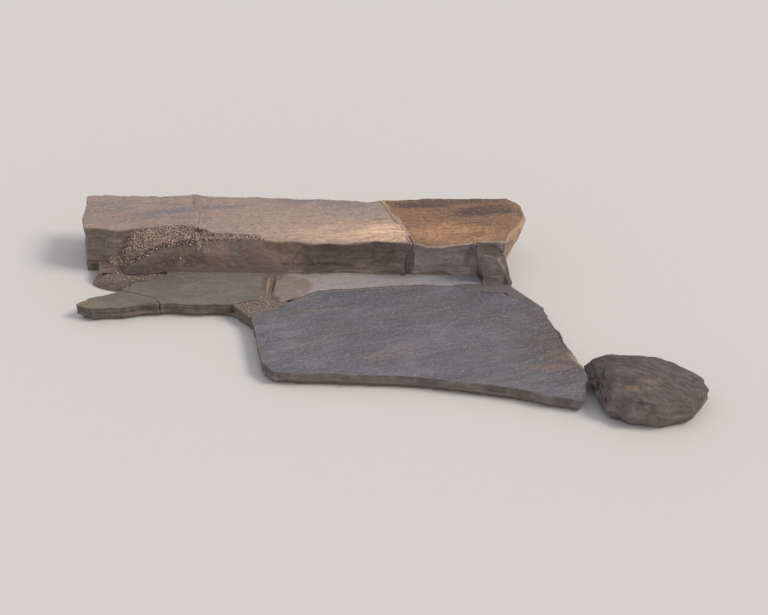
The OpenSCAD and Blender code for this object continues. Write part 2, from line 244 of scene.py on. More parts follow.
def cloud(tree: Tree, place: Socket, size_mm: Size, seed: float, detail: float, turn_deg: float = 0.0,
          warp: float = 0.0) -> Socket:
    """Noise whose waves have a real size.

    Args:
        tree: The material's node tree.
        place: Object coordinates.
        size_mm: Length of a wave along the grain, across it and upwards.
        seed: Moves the pattern to another place.
        detail: How many finer waves are added.
        turn_deg: Direction of the grain, anticlockwise from +X.
        warp: How much the waves bend each other.

    Returns:
        A value from 0 to 1.
    """
    mapped = add(tree, "ShaderNodeMapping", {"vector_type": "TEXTURE"}, {
        "Vector": place, "Location": (seed, seed * 0.7, seed * 0.3),
        "Rotation": (0.0, 0.0, math.radians(turn_deg)),
        "Scale": tuple(size * MM for size in size_mm)}).outputs["Vector"]
    return add(tree, "ShaderNodeTexNoise", {}, {
        "Vector": mapped, "Scale": 1.0, "Detail": detail, "Roughness": 0.55,
        "Distortion": warp}).outputs["Fac"]


def value_of(tree: Tree, trace: Trace) -> Socket:
    """A value that the sculpting left on the mesh."""
    return add(tree, "ShaderNodeAttribute", {"attribute_name": trace.value}, {}).outputs["Fac"]


def within(tree: Tree, place: Socket, zone: Zone) -> Socket:
    """Tells a zone's inside from its outside, with a ragged border.

    Args:
        tree: The material's node tree.
        place: Object coordinates.
        zone: The ellipsoid.

    Returns:
        A value that is 1 inside the zone and 0 outside it.
    """
    mapped = add(tree, "ShaderNodeMapping", {"vector_type": "TEXTURE"}, {
        "Vector": place, "Location": zone.centre,
        "Rotation": tuple(math.radians(turn) for turn in zone.turn_deg),
        "Scale": zone.reach}).outputs["Vector"]
    far = add(tree, "ShaderNodeVectorMath", {"operation": "LENGTH"}, {0: mapped}).outputs["Value"]
    torn = cloud(tree, place, TORN_MM, seed=1.3, detail=5.0)
    torn = calculate(tree, "MULTIPLY_ADD", torn, 2 * zone.ragged, -zone.ragged)
    return add(tree, "ShaderNodeMapRange", {"interpolation_type": "SMOOTHSTEP"}, {
        "Value": calculate(tree, "ADD", far, torn), "From Min": 1.0 - zone.fade, "From Max": 1.0,
        "To Min": 1.0, "To Max": 0.0}).outputs["Result"]


def cover(tree: Tree, place: Socket, ground: str, veils: tuple[Veil, ...], grain_deg: float = 0.0) -> object:
    """Lays veils of colour over a ground colour.

    Args:
        tree: The material's node tree.
        place: Object coordinates.
        ground: The stone's own colour.
        veils: What lies over it, from the lowest up.
        grain_deg: Direction of the grain, anticlockwise from +X.

    Returns:
        The colour with every veil on it.
    """
    below: object = linear(ground)
    for veil in veils:
        turn_deg = grain_deg if veil.turn_deg is None else veil.turn_deg
        middle = NOISE_MIDDLE + NOISE_REACH * (0.5 - veil.cover)
        mask = add(tree, "ShaderNodeMapRange", {"interpolation_type": "SMOOTHSTEP"}, {
            "Value": cloud(tree, place, veil.size_mm, veil.seed, veil.detail, turn_deg, veil.warp),
            "From Min": middle - veil.softness, "From Max": middle + veil.softness,
            "To Min": 0.0, "To Max": veil.strength}).outputs["Result"]
        if veil.zone:
            mask = calculate(tree, "MULTIPLY", mask, within(tree, place, veil.zone))
        below = mix(tree, mask, below, linear(veil.colour))
    return below


@dataclass(frozen=True)
class StoneFinish:
    """Colours and roughness of one kind of stone, on its cleft top and on its broken sides."""

    name: str
    ground: str
    side_ground: str
    worn: str
    # Colour laid into the points that lie deeper than the surface round them
    soil: str
    grain_deg: float = 0.0
    veils: tuple[Veil, ...] = ()
    side_veils: tuple[Veil, ...] = ()
    grit: tuple[Grit, ...] = ()
    roughness: float = 0.78
    roughness_spread: float = 0.08
    roughness_mm: Size = (60, 60, 60)
    gloss: float = 0.3
    worn_strength: float = 0.45
    soil_strength: float = 0.6

    def material(self) -> bpy.types.Material:
        """Makes the stone's material, which reads the traces of the sculpting.

        Returns:
            The new material.
        """
        material = blank_material(self.name)
        tree = material.node_tree
        place = add(tree, "ShaderNodeTexCoord", {}, {}).outputs["Object"]
        top = cover(tree, place, self.ground, self.veils, self.grain_deg)
        side = cover(tree, place, self.side_ground, self.side_veils)
        stone = mix(tree, value_of(tree, Trace.UPPER), side, top)
        stone = mix(tree, self.share(tree, Trace.RECESS, self.soil_strength), stone, linear(self.soil))
        stone = mix(tree, self.share(tree, Trace.WORN, self.worn_strength), stone, linear(self.worn))
        rough = add(tree, "ShaderNodeMapRange", {}, {
            "Value": cloud(tree, place, self.roughness_mm, seed=3.7, detail=3.0),
            "From Min": NOISE_MIDDLE - NOISE_REACH / 2, "From Max": NOISE_MIDDLE + NOISE_REACH / 2,
            "To Min": self.roughness - self.roughness_spread,
            "To Max": self.roughness + self.roughness_spread}).outputs["Result"]
        surface(tree, {"Base Color": stone, "Roughness": rough, "Normal": self.relief(tree, place),
                       "Specular IOR Level": self.gloss})
        return material

    def share(self, tree: Tree, trace: Trace, strength: float) -> Socket:
        """How much of a trace's colour shows at each point."""
        return calculate(tree, "MULTIPLY", value_of(tree, trace), strength)

    def relief(self, tree: Tree, place: Socket) -> Socket:
        """Normals of the fine unevenness, whose heights add up in metres.

        Args:
            tree: The material's node tree.
            place: Object coordinates.

        Returns:
            The bent normals.
        """
        height: object = 0.0
        for step, grit in enumerate(self.grit):
            bumps = cloud(tree, place, grit.size_mm, 5.0 + step, grit.detail, self.grain_deg)
            height = calculate(tree, "MULTIPLY_ADD", bumps, grit.height_mm * MM, height)
        return add(tree, "ShaderNodeBump", {}, {"Height": height, "Distance": 1.0}).outputs["Normal"]


@dataclass(frozen=True)
class GrainFinish:
    """Crushed stone whose grains differ in tone."""

    name: str
    tones: tuple[tuple[float, str], ...]
    roughness: float = 0.8
    gloss: float = 0.3

    def material(self) -> bpy.types.Material:
        """Makes the grains' material, which reads each grain's tone.

        Returns:
            The new material.
        """
        material = blank_material(self.name)
        tree = material.node_tree
        ramp = add(tree, "ShaderNodeValToRGB", {}, {"Fac": value_of(tree, Trace.TONE)})
        stops = ramp.color_ramp.elements
        while len(stops) < len(self.tones):
            stops.new(0.5)
        for stop, (place, colour) in zip(stops, self.tones):
            stop.position = place
            stop.color = linear(colour)
        surface(tree, {"Base Color": ramp.outputs["Color"], "Roughness": self.roughness,
                       "Specular IOR Level": self.gloss})
        return material


# Where a face begins to count as an upper one, by the upward part of its normal, and the share of the top or
# of the sides from which a point belongs wholly to it
UPWARD = (0.35, 0.75)
WHOLLY = 0.9

# Passes of smoothing that level a stone's top
LEVELLING = 60

# Passes of smoothing that tell a form from what lies under it, and how many millimetres it stands out at most
EDGES = (12, 2.0)
FINE_RELIEF = (3, 0.7)
COARSE_RELIEF = (25, 6.0)
SAND_RELIEF = (3, 0.8)

# Faces that meet at a smaller angle are shaded as one
SMOOTH_DEG = 40

# Distance at which two corners of a solid are one, in millimetres
DOUBLED_MM = 0.01

# How far apart the patterns of two seeds lie, in waves
SEED_STEP = 7.31

# Wave length that leaves a pattern the same over a whole stone, in millimetres
ENDLESS_MM = 1000.0

# Gap to the next stone over which wear grows, the wear in a closed gap, and the gaps that are narrowed
OPEN_GAP_MM = (6.0, 45.0)
SHELTERED = 0.1
NARROW_GAP_MM = (14.0, 20.0)

# Distance from the CAD model's sides over which a stone may swell out more and more, in millimetres
ROOM_MM = (2.0, 30.0)

# Fracture planes: the least and the most of them on a stone, their lean and their depth, and how far and how
# often their borders bend
PLANES = (12, 400)
PLANE_LEAN = 0.45
PLANE_DEPTH = (0.25, 0.75)
PLANE_BEND = (0.16, 5.0)

# Chips: their depth as a share of the deepest one, their radius in depths, and the edge's points in a metre
CHIP_DEPTH = (0.3, 1.0)
CHIP_RADIUS = (3.0, 9.0)
POINTS_PER_M = 900

# The proudest part of a stone's surface, in percent, that stays where the solid is
PROUDEST = 4.0


@dataclass(frozen=True)
class Cleaving:
    """How a stone split and wore.

    Spans, and lengths called long or tall, are those of a pattern's waves. The others in _mm are depths, but
    for foot_mm, the height up to which the sides keep closer to the solid.
    """

    seed: int = 0
    grain_deg: float = 0.0
    layer_mm: float = 0.8
    layers: float = 3.0
    layer_span_mm: Span = (420.0, 150.0)
    swell_mm: float = 2.0
    ridge_mm: float = 0.5
    ridge_span_mm: Span = (180.0, 13.0)
    break_mm: float = 6.0
    break_span_mm: float = 75.0
    ledge_mm: float = 0.9
    ledge_long_mm: float = 260.0
    ledge_tall_mm: float = 30.0
    ledges: float = 4.0
    rough_mm: float = 1.4
    rough_span_mm: Size = (24.0, 24.0, 18.0)
    wander_mm: float = 9.0
    wander_span_mm: float = 110.0
    wander_tall_mm: float = 700.0
    scar_mm: float = 1.2
    scar_span_mm: Size = (70.0, 70.0, 9.0)
    scar_deg: float = 32.0
    chip_mm: float = 4.0
    chips_per_m: float = 16.0
    close_share: float = 0.38
    foot_mm: float = 0.0
    foot_share: float = 0.2


def select_only(piece: bpy.types.Object) -> None:
    """Makes one object the only selected and the active one."""
    bpy.ops.object.select_all(action="DESELECT")
    piece.select_set(True)
    bpy.context.view_layer.objects.active = piece


def apply(piece: bpy.types.Object, kind: str, settings: dict[str, object]) -> None:
    """Adds a modifier to a piece and applies it.

    Args:
        piece: The piece to change.
        kind: The modifier's type name.
        settings: Its properties and their values.
    """
    select_only(piece)
    bpy.ops.object.modifier_add(type=kind)
    modifier = piece.modifiers[-1]
    for name, value in settings.items():
        setattr(modifier, name, value)
    bpy.ops.object.modifier_apply(modifier=modifier.name)


def copy_solid(node: str, name: str) -> bpy.types.Object:
    """Copies a node's solid as a free piece, with its doubled corners merged.

    Args:
        node: Name of the node.
        name: Name of the new piece.

    Returns:
        The new piece, with no material.
    """
    select_only(frame["nodes"][node])
    bpy.ops.object.duplicate()
    piece = bpy.context.view_layer.objects.active
    piece.name = name
    bpy.ops.object.parent_clear(type="CLEAR_KEEP_TRANSFORM")
    for key in list(piece.keys()):
        del piece[key]
    piece.data.materials.clear()
    bpy.ops.object.mode_set(mode="EDIT")
    bpy.ops.mesh.select_all(action="SELECT")
    bpy.ops.mesh.remove_doubles(threshold=DOUBLED_MM * MM)
    bpy.ops.mesh.normals_make_consistent(inside=False)
    bpy.ops.object.mode_set(mode="OBJECT")
    return piece


def points_of(piece: bpy.types.Object, value: str = "co") -> Points:
    """One vector of each of a piece's points, which is its place by default."""
    flat = np.empty(len(piece.data.vertices) * 3)
    piece.data.vertices.foreach_get(value, flat)
    return flat.reshape(-1, 3)


def normals_of(piece: bpy.types.Object) -> Points:
    """Outward directions at a piece's points, one row each."""
    return points_of(piece, "normal")


def move_points(piece: bpy.types.Object, points: Points) -> None:
    """Puts a piece's points in new places."""
    piece.data.vertices.foreach_set("co", points.ravel())
    piece.data.update()


def leave_traces(piece: bpy.types.Object, traces: dict[Trace, Points]) -> None:
    """Stores values from 0 to 1 on each point of a piece, for its material."""
    for trace, values in traces.items():
        attribute = piece.data.attributes.new(trace.value, "FLOAT", "POINT")
        attribute.data.foreach_set("value", np.clip(values, 0.0, 1.0).astype(np.float32))


def waves(points: Points, size_mm: Size, seed: int, octaves: int = 4) -> Points:
    """Smooth noise at each point, from about -1 to 1.

    Args:
        points: Places, one row each.
        size_mm: Length of a wave along X, Y and Z.
        seed: Moves the pattern to another place.
        octaves: How many finer waves are added.

    Returns:
        One value for each point.
    """
    scaled = points / (np.array(size_mm) * MM) + SEED_STEP * seed
    return np.array([noise.fractal(place, 1.0, 2.0, octaves) for place in scaled.tolist()])


def terraces(heights: Points, slope: float = 0.25) -> Points:
    """Rounds heights down to whole levels, with a short slope up to each."""
    level = np.floor(heights)
    return level + np.clip((heights - level) / slope, 0.0, 1.0)


def smooth_step(values: Points, low: float, high: float) -> Points:
    """0 below the low value and 1 above the high one, with a smooth rise between them."""
    share = np.clip((values - low) / (high - low), 0.0, 1.0)
    return share * share * (3 - 2 * share)


def relaxed(piece: bpy.types.Object, values: Points, passes: int,
            weight: Points | None = None) -> Points:
    """Averages values with those of the neighbouring points.

    Args:
        piece: The piece whose edges join the points.
        values: One row for each point.
        passes: How many times each value moves to its neighbours' mean.
        weight: How much each point counts, or None where all count the same.

    Returns:
        The averaged values.
    """
    ends = np.empty(len(piece.data.edges) * 2, dtype=np.int32)
    piece.data.edges.foreach_get("vertices", ends)
    one, two = ends.reshape(-1, 2).T
    count = len(values)
    weight = np.ones(count) if weight is None else weight + 1e-6
    shares = np.bincount(one, weight[two], count) + np.bincount(two, weight[one], count) + weight
    columns = values.T.copy()
    for _ in range(passes):
        for row, column in enumerate(columns):
            counted = column * weight
            columns[row] = (np.bincount(one, counted[two], count) + np.bincount(two, counted[one], count)
                            + counted) / shares
    return columns.T


def standing_out(piece: bpy.types.Object, passes: int, most_mm: float) -> Points:
    """How far each point stands out from the smoothed surface round it, as a share of the most.

    Args:
        piece: The piece.
        passes: How often its surface is smoothed for the comparison.
        most_mm: How far a form of this size stands out at most.

    Returns:
        One share for each point, less than 0 where it lies deeper.
    """
    points = points_of(piece)
    return ((points - relaxed(piece, points, passes)) * normals_of(piece)).sum(axis=1) / MM / most_mm


def gaps_mm(node: str, points: Points, most_mm: float = OPEN_GAP_MM[1]) -> Points:
    """How far each point is from the nearest of the other stones.

    Args:
        node: Name of the stone's own node, which doesn't count.
        points: Places, one row each.
        most_mm: A distance past which no stone is looked for.

    Returns:
        One distance for each point, in millimetres.
    """
    corners: list[list[float]] = []
    faces: list[tuple[int, ...]] = []
    for other in STONES:
        if other != node:
            mesh = frame["nodes"][other].data
            faces += [tuple(len(corners) + index for index in face.vertices) for face in mesh.polygons]
            corners += [list(corner.co) for corner in mesh.vertices]
    others = BVHTree.FromPolygons(corners, faces)
    gaps = [others.find_nearest(place, most_mm * MM)[3] for place in points.tolist()]
    return np.array([most_mm * MM if gap is None else gap for gap in gaps]) / MM


def room(points: Points) -> Points:
    """1 well inside the CAD model's box, and 0 at its four upright sides."""
    low, high = (np.array(corner)[:2] for corner in cad_box)
    reach = np.minimum(points[:, :2] - low, high - points[:, :2]).min(axis=1)
    return smooth_step(reach / MM, *ROOM_MM)


def breaks(points: Points, pick: Points, span_mm: float, dice: np.random.Generator) -> Points:
    """Depths, from 0 to 1, of flat fracture planes that lean this way and that.

    Args:
        points: Places, one row each.
        pick: Numbers of the points that a plane may start from.
        span_mm: How far a plane reaches.
        dice: Source of chance.

    Returns:
        One depth for each point.
    """
    spread = points[pick].max(axis=0) - points[pick].min(axis=0)
    walls = (spread.sum() + spread.max()) * spread[2]
    count = int(np.clip(walls * 2 / (span_mm * MM) ** 2, *PLANES))
    seeds = points[dice.choice(pick, count)]
    tilt = dice.normal(0.0, PLANE_LEAN / (span_mm * MM), (count, 3))
    height = dice.uniform(*PLANE_DEPTH, count)
    tree = KDTree(count)
    for number, seed in enumerate(seeds.tolist()):
        tree.insert(seed, number)
    tree.balance()
    far, often = PLANE_BEND
    bent = points + far * span_mm * MM * np.sin(points[:, (1, 2, 0)] * (often / (span_mm * MM)))
    nearest = np.array([tree.find(place)[1] for place in bent.tolist()])
    depth = height[nearest] + ((points - seeds[nearest]) * tilt[nearest]).sum(axis=1)
    return np.clip(depth, 0.0, 1.0)


def chips(points: Points, outward: Points, pick: Points, count: int, deepest_mm: float,
          dice: np.random.Generator) -> Points:
    """Depths in millimetres of round scoops that were knocked off a stone's edges.

    Args:
        points: Places, one row each.
        outward: Outward directions, one row each.
        pick: Numbers of the points on the edges.
        count: How many chips there are.
        deepest_mm: Depth of the deepest chip.
        dice: Source of chance.

    Returns:
        One depth for each point.
    """
    depth = np.zeros(len(points))
    for centre in dice.choice(pick, count):
        bite = deepest_mm * MM * dice.uniform(*CHIP_DEPTH)
        radius = bite * dice.uniform(*CHIP_RADIUS)
        middle = points[centre] + outward[centre] * (radius - bite)
        near = np.flatnonzero(np.abs(points - middle).max(axis=1) < radius)
        reach = np.linalg.norm(points[near] - middle, axis=1)
        depth[near] = np.maximum(depth[near], (radius - reach) / MM)
    return depth


def split_top(points: Points, upper: Points, cut: Cleaving) -> Points:
    """Splits a stone's top into thin layers with rounded edges, and ridges along its grain.

    Args:
        points: Places, one row each.
        upper: How much each point belongs to the top.
        cut: How the stone split.

    Returns:
        One depth in millimetres for each point.
    """
    along = points @ np.array(Matrix.Rotation(math.radians(cut.grain_deg), 3, "Z"))
    swell = waves(along, (*cut.layer_span_mm, ENDLESS_MM), cut.seed, 5)
    level = terraces(swell * cut.layers * 2)
    ridges = waves(along, (*cut.ridge_span_mm, ENDLESS_MM), cut.seed + 4, 3)
    depth = (cut.layer_mm * (level.max() - level) + cut.swell_mm * np.maximum(0, 0.4 - swell)
             + cut.ridge_mm * (1 - ridges))
    return np.maximum(0.0, depth - np.percentile(depth[upper > WHOLLY], PROUDEST))


def split_sides(points: Points, side: Points, cut: Cleaving, dice: np.random.Generator) -> Points:
    """Breaks a stone's sides along fracture planes, level ledges and slanting scars.

    Args:
        points: Places, one row each.
        side: How much each point belongs to the sides.
        cut: How the stone split.
        dice: Source of chance.

    Returns:
        One depth in millimetres for each point, less than 0 where the outline swells out.
    """
    walls = np.flatnonzero(side > WHOLLY)
    ledge_mm = (cut.ledge_long_mm, cut.ledge_long_mm, cut.ledge_tall_mm)
    split = terraces(waves(points, ledge_mm, cut.seed + 1, 3) * cut.ledges)
    slanted = points @ np.array(Matrix.Rotation(math.radians(-cut.scar_deg), 3, "Y"))
    scars = waves(slanted, cut.scar_span_mm, cut.seed + 6, 3)
    depth = (cut.break_mm * breaks(points, walls, cut.break_span_mm, dice)
             + cut.scar_mm * (1 - scars)
             + cut.ledge_mm * (split.max() - split)
             + cut.rough_mm * (1 - waves(points, cut.rough_span_mm, cut.seed + 2, 4)))
    depth = np.maximum(0.0, depth - np.percentile(depth[walls], PROUDEST))
    wander_mm = (cut.wander_span_mm, cut.wander_span_mm, cut.wander_tall_mm)
    wander = cut.wander_mm * waves(points, wander_mm, cut.seed + 7, 3)
    depth -= np.where(wander > 0.0, wander * room(points), wander)
    if cut.foot_mm:
        low = points[:, 2].min()
        rise = smooth_step(points[:, 2], low, low + cut.foot_mm * MM)
        depth *= cut.foot_share + (1 - cut.foot_share) * rise
    return depth


def cleave(piece: bpy.types.Object, node: str, cut: Cleaving) -> None:
    """Splits a stone's surface into layers, breaks and chips, and leaves its traces.

    All of it goes inwards, but for the wander of the outline and the sides of narrow gaps.

    Args:
        piece: The remeshed stone.
        node: The node that it stands for.
        cut: How it split.
    """
    dice = np.random.default_rng(cut.seed)
    points = points_of(piece)
    normals = relaxed(piece, normals_of(piece), 2)
    normals /= np.linalg.norm(normals, axis=1)[:, None]
    upper = smooth_step(normals[:, 2], *UPWARD)
    side = 1.0 - smooth_step(np.abs(normals[:, 2]), *UPWARD)
    points[:, 2] += upper * (relaxed(piece, points[:, 2:], LEVELLING, upper)[:, 0] - points[:, 2])
    edge = np.clip(standing_out(piece, *EDGES), 0.0, 1.0)
    gaps = gaps_mm(node, points)
    open_air = SHELTERED + (1 - SHELTERED) * smooth_step(gaps, *OPEN_GAP_MM)
    narrow = 1 - smooth_step(gaps, *NARROW_GAP_MM)
    points[:, :2] += normals[:, :2] * (cut.close_share * gaps * narrow * MM)[:, None]

    top_depth = split_top(points, upper, cut)
    side_depth = split_sides(points, side, cut, dice)
    edges = np.flatnonzero((edge > 0.5) & (normals[:, 2] > -0.2) & (open_air > 0.3))
    count = int(len(edges) / POINTS_PER_M * cut.chips_per_m)
    chip = chips(points, normals, edges, count, cut.chip_mm, dice)
    depth = upper * top_depth + side * side_depth * open_air * (1 - 0.5 * edge) + chip * open_air
    depth = relaxed(piece, depth[:, None], 1)[:, 0]
    move_points(piece, points - normals * (depth * MM)[:, None])

    near = standing_out(piece, *FINE_RELIEF)
    far = standing_out(piece, *COARSE_RELIEF)
    worn = 0.6 * np.clip(near, 0, 1) + 0.4 * np.clip(far, 0, 1)
    recess = 0.6 * np.clip(-near, 0, 1) + 0.6 * np.clip(-far, 0, 1)
    leave_traces(piece, {Trace.UPPER: upper, Trace.WORN: worn * (0.4 + 0.6 * upper), Trace.RECESS: recess})


def dress(piece: bpy.types.Object, material: bpy.types.Material, slot: Slot, *nodes: str) -> None:
    """Gives a finished piece its material and its place, inside the CAD model's box.

    Args:
        piece: The finished piece.
        material: Its material.
        slot: The record's slot that the finish belongs to. Not used.
        *nodes: Nodes that the piece stands for.
    """
    move_points(piece, np.clip(points_of(piece), *cad_box))
    piece.data.materials.append(material)
    select_only(piece)
    bpy.ops.object.shade_smooth_by_angle(angle=math.radians(SMOOTH_DEG))
    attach(piece, "root")
    if nodes:
        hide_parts(*nodes)
    count = sum(len(face.vertices) - 2 for face in piece.data.polygons)
    log.info("%s: %d triangles", piece.name, count)


@dataclass
class Stone:
    """One stone of the steps."""

    node: str
    slot: Slot
    finish: StoneFinish
    cut: Cleaving
    voxel_mm: float = 4.0
    rounding: int = 2
    shaping: Shaping | None = None

    def build(self) -> bpy.types.Object:
        """Remeshes, shapes, rounds and splits the stone, and dresses it.

        Returns:
            The finished stone.
        """
        piece = copy_solid(self.node, f"{self.node}_stone")
        apply(piece, "REMESH", {"mode": "VOXEL", "voxel_size": self.voxel_mm * MM})
        if self.shaping:
            move_points(piece, self.shaping(points_of(piece)))
        apply(piece, "SMOOTH", {"factor": 0.5, "iterations": self.rounding})
        cleave(piece, self.node, self.cut)
        dress(piece, self.finish.material(), self.slot, self.node)
        return piece


def cleft(colour: str, strength: float, seed: float, centre: Size, reach: Span, turn_deg: float) -> Veil:
    """A thin dark line where a stone's top has opened.

    Args:
        colour: Colour of the line.
        strength: How dark it is.
        seed: Moves its pattern to another place.
        centre: Its middle.
        reach: Half of its length and half of its width.
        turn_deg: Its direction, anticlockwise from +X.

    Returns:
        The veil.
    """
    return Veil(colour, (60, 20, 30), 0.9, 0.1, strength, seed,
                zone=Zone(centre, (*reach, 0.1), (0, 0, turn_deg), fade=0.5, ragged=0.2))


def rust_streaks(long_mm: float, cover_share: float, strength: float, seed: float, centre: Size, reach: Span,
                 turn_deg: float, fade: float = 0.6) -> Veil:
    """Fine streaks of rust along the grain of a flagstone.

    Args:
        long_mm: Length of a streak.
        cover_share: How much of the zone they cover.
        strength: How strong their colour is.
        seed: Moves their pattern to another place.
        centre: Middle of their zone.
        reach: Half of the zone's length and half of its width.
        turn_deg: The zone's direction, anticlockwise from +X.
        fade: How far inwards the zone fades out.

    Returns:
        The veil.
    """
    return Veil("#93806f", (long_mm, 6, 60), cover_share, 0.06, strength, seed, 6.0,
                zone=Zone(centre, (*reach, 0.1), (0, 0, turn_deg), fade))


# Quartzite, split by hand: pinkish beige with lavender clouds, and dark weathered sides. Its top is coloured
# warmer than the stone, partly painted low sunlight
PALE_QUARTZITE = StoneFinish(
    name="cleft_pale_quartzite", ground="#b0998c", side_ground="#8f8079", worn="#c4ab93",
    soil="#6a5a50", grain_deg=8.0,
    veils=(
        Veil("#998b84", (380, 160, 200), 0.45, 0.12, 0.7, 0.4, warp=0.3),
        # Lavender grey towards the left end, and bands of painted plant shadow along the far edge
        Veil("#8b807a", (300, 120, 200), 0.85, 0.12, 0.9, 1.4,
             zone=Zone((-0.95, 0.55, 0.22), (0.45, 0.3, 0.3), fade=0.8)),
        Veil("#867f82", (260, 50, 60), 0.75, 0.10, 0.85, 1.1, 5.0,
             zone=Zone((-0.76, 0.575, 0.22), (0.36, 0.04, 0.2), (0, 0, 14))),
        Veil("#878083", (260, 60, 60), 0.75, 0.10, 0.85, 2.1, 5.0,
             zone=Zone((-0.22, 0.635, 0.22), (0.26, 0.06, 0.2), (0, 0, -3))),
        # Bright cream towards the near right corner, partly the stone's colour and partly a painted pool of
        # sunlight
        Veil("#d8b699", (240, 110, 60), 0.85, 0.12, 0.9, 2.2, 5.0,
             zone=Zone((-0.10, 0.40, 0.22), (0.42, 0.13, 0.2), (0, 0, 6), 0.8)),
        Veil("#f8cfa8", (160, 70, 60), 0.9, 0.12, 0.95, 2.7, 5.0,
             zone=Zone((0.06, 0.395, 0.22), (0.20, 0.11, 0.2), (0, 0, 10), 0.8)),
        Veil("#b3978a", (200, 40, 60), 0.42, 0.08, 0.6, 4.2, 5.0, warp=0.4),
        Veil("#7d6f68", (90, 14, 60), 0.24, 0.06, 0.3, 5.2, 6.0, warp=0.8),
        Veil("#8c7c73", (24, 12, 20), 0.36, 0.09, 0.42, 6.2, 3.0),
        # Two short clefts and some pits near the joint
        cleft("#5d4f48", 0.8, 1.2, (0.03, 0.503, 0.22), (0.05, 0.004), 8),
        cleft("#6a5a50", 0.7, 1.7, (0.035, 0.47, 0.22), (0.035, 0.003), 4),
        Veil("#6a5b53", (20, 8, 10), 0.22, 0.07, 0.42, 3.1, 2.0),
        Veil("#d8c2ae", (11, 8, 10), 0.18, 0.05, 0.4, 4.4, 2.0),
    ),
    side_veils=(
        # Very dark rough cleft right of the low rock
        Veil("#74665f", (150, 150, 60), 0.9, 0.10, 0.9, 0.6, 6.0,
             zone=Zone((-0.10, 0.31, 0.15), (0.26, 0.2, 0.12), fade=0.4)),
        # Iron-stained patch with a slanting border
        Veil("#aa8d78", (120, 120, 50), 0.95, 0.10, 0.9, 1.6, 6.0,
             zone=Zone((-0.39, 0.33, 0.17), (0.1, 0.2, 0.07), (0, 32, 0), 0.4)),
        Veil("#6d5f57", (120, 120, 50), 0.4, 0.09, 0.5, 0.9, 6.0, warp=0.5),
        Veil("#a29389", (70, 70, 22), 0.3, 0.07, 0.35, 1.9, 5.0),
        Veil("#5b4f48", (9, 9, 8), 0.2, 0.05, 0.5, 3.1, 2.0),
    ),
    grit=(Grit((40, 18, 18), 2.0, 6.0), Grit((11, 9, 9), 0.9, 3.0)),
)

# Quartzite with more iron: tan brown and speckled, its top warmer from painted low sunlight, with bands of
# painted plant shadow along its far edge
BROWN_QUARTZITE = StoneFinish(
    # Its top ground is coloured warmer than the stone, partly painted low sunlight
    name="cleft_brown_quartzite", ground="#97755d", side_ground="#afa39e", worn="#b99872",
    soil="#5b4d44", grain_deg=6.0,
    veils=(
        Veil("#7d6657", (260, 90, 120), 0.45, 0.10, 0.6, 5.4, 5.0),
        Veil("#c4946f", (220, 90, 60), 0.9, 0.12, 0.9, 6.1, 5.0,
             zone=Zone((0.33, 0.40, 0.22), (0.3, 0.12, 0.2), (0, 0, 0), 0.8)),
        # Bands of painted plant shadow along the far edge
        Veil("#4f4648", (240, 34, 60), 0.85, 0.10, 0.9, 7.1, 5.0,
             zone=Zone((0.21, 0.617, 0.22), (0.19, 0.04, 0.2), (0, 0, 3))),
        Veil("#50474a", (240, 34, 60), 0.85, 0.10, 0.9, 7.9, 5.0,
             zone=Zone((0.48, 0.575, 0.22), (0.21, 0.055, 0.2), (0, 0, 10))),
        Veil("#5d5250", (240, 60, 60), 0.85, 0.10, 0.85, 8.6, 5.0,
             zone=Zone((0.36, 0.67, 0.22), (0.34, 0.06, 0.2), (0, 0, 0))),
        Veil("#5a4a3f", (90, 14, 60), 0.24, 0.06, 0.35, 6.6, 6.0, warp=0.8),
        Veil("#6d5646", (22, 13, 20), 0.38, 0.09, 0.45, 6.2, 3.0),
        cleft("#463a33", 0.7, 1.2, (0.41, 0.475, 0.22), (0.11, 0.0035), 8),
        cleft("#463a33", 0.7, 1.2, (0.2, 0.322, 0.22), (0.024, 0.003), -35),
        Veil("#4f4139", (15, 9, 10), 0.24, 0.07, 0.45, 8.1, 2.0),
        Veil("#cba581", (11, 8, 10), 0.2, 0.07, 0.4, 9.4, 2.0),
    ),
    side_veils=(
        # Its broken right side is coloured cream as if sunlit: painted sunlight
        Veil("#c09a76", (120, 120, 60), 0.8, 0.1, 0.9, 2.9, 6.0,
             zone=Zone((0.66, 0.46, 0.16), (0.13, 0.3, 0.14), fade=0.3)),
        Veil("#6d5747", (12, 12, 160), 0.4, 0.07, 0.7, 3.9, 5.0,
             zone=Zone((0.62, 0.46, 0.14), (0.09, 0.2, 0.08), fade=0.5), warp=0.4),
        Veil("#7d706a", (160, 160, 60), 0.4, 0.12, 0.4, 0.9, 6.0, warp=0.5),
        Veil("#5d514b", (9, 9, 8), 0.2, 0.05, 0.5, 3.1, 2.0),
    ),
    grit=(Grit((36, 18, 18), 2.0, 6.0), Grit((11, 9, 9), 1.0, 3.0)),
)
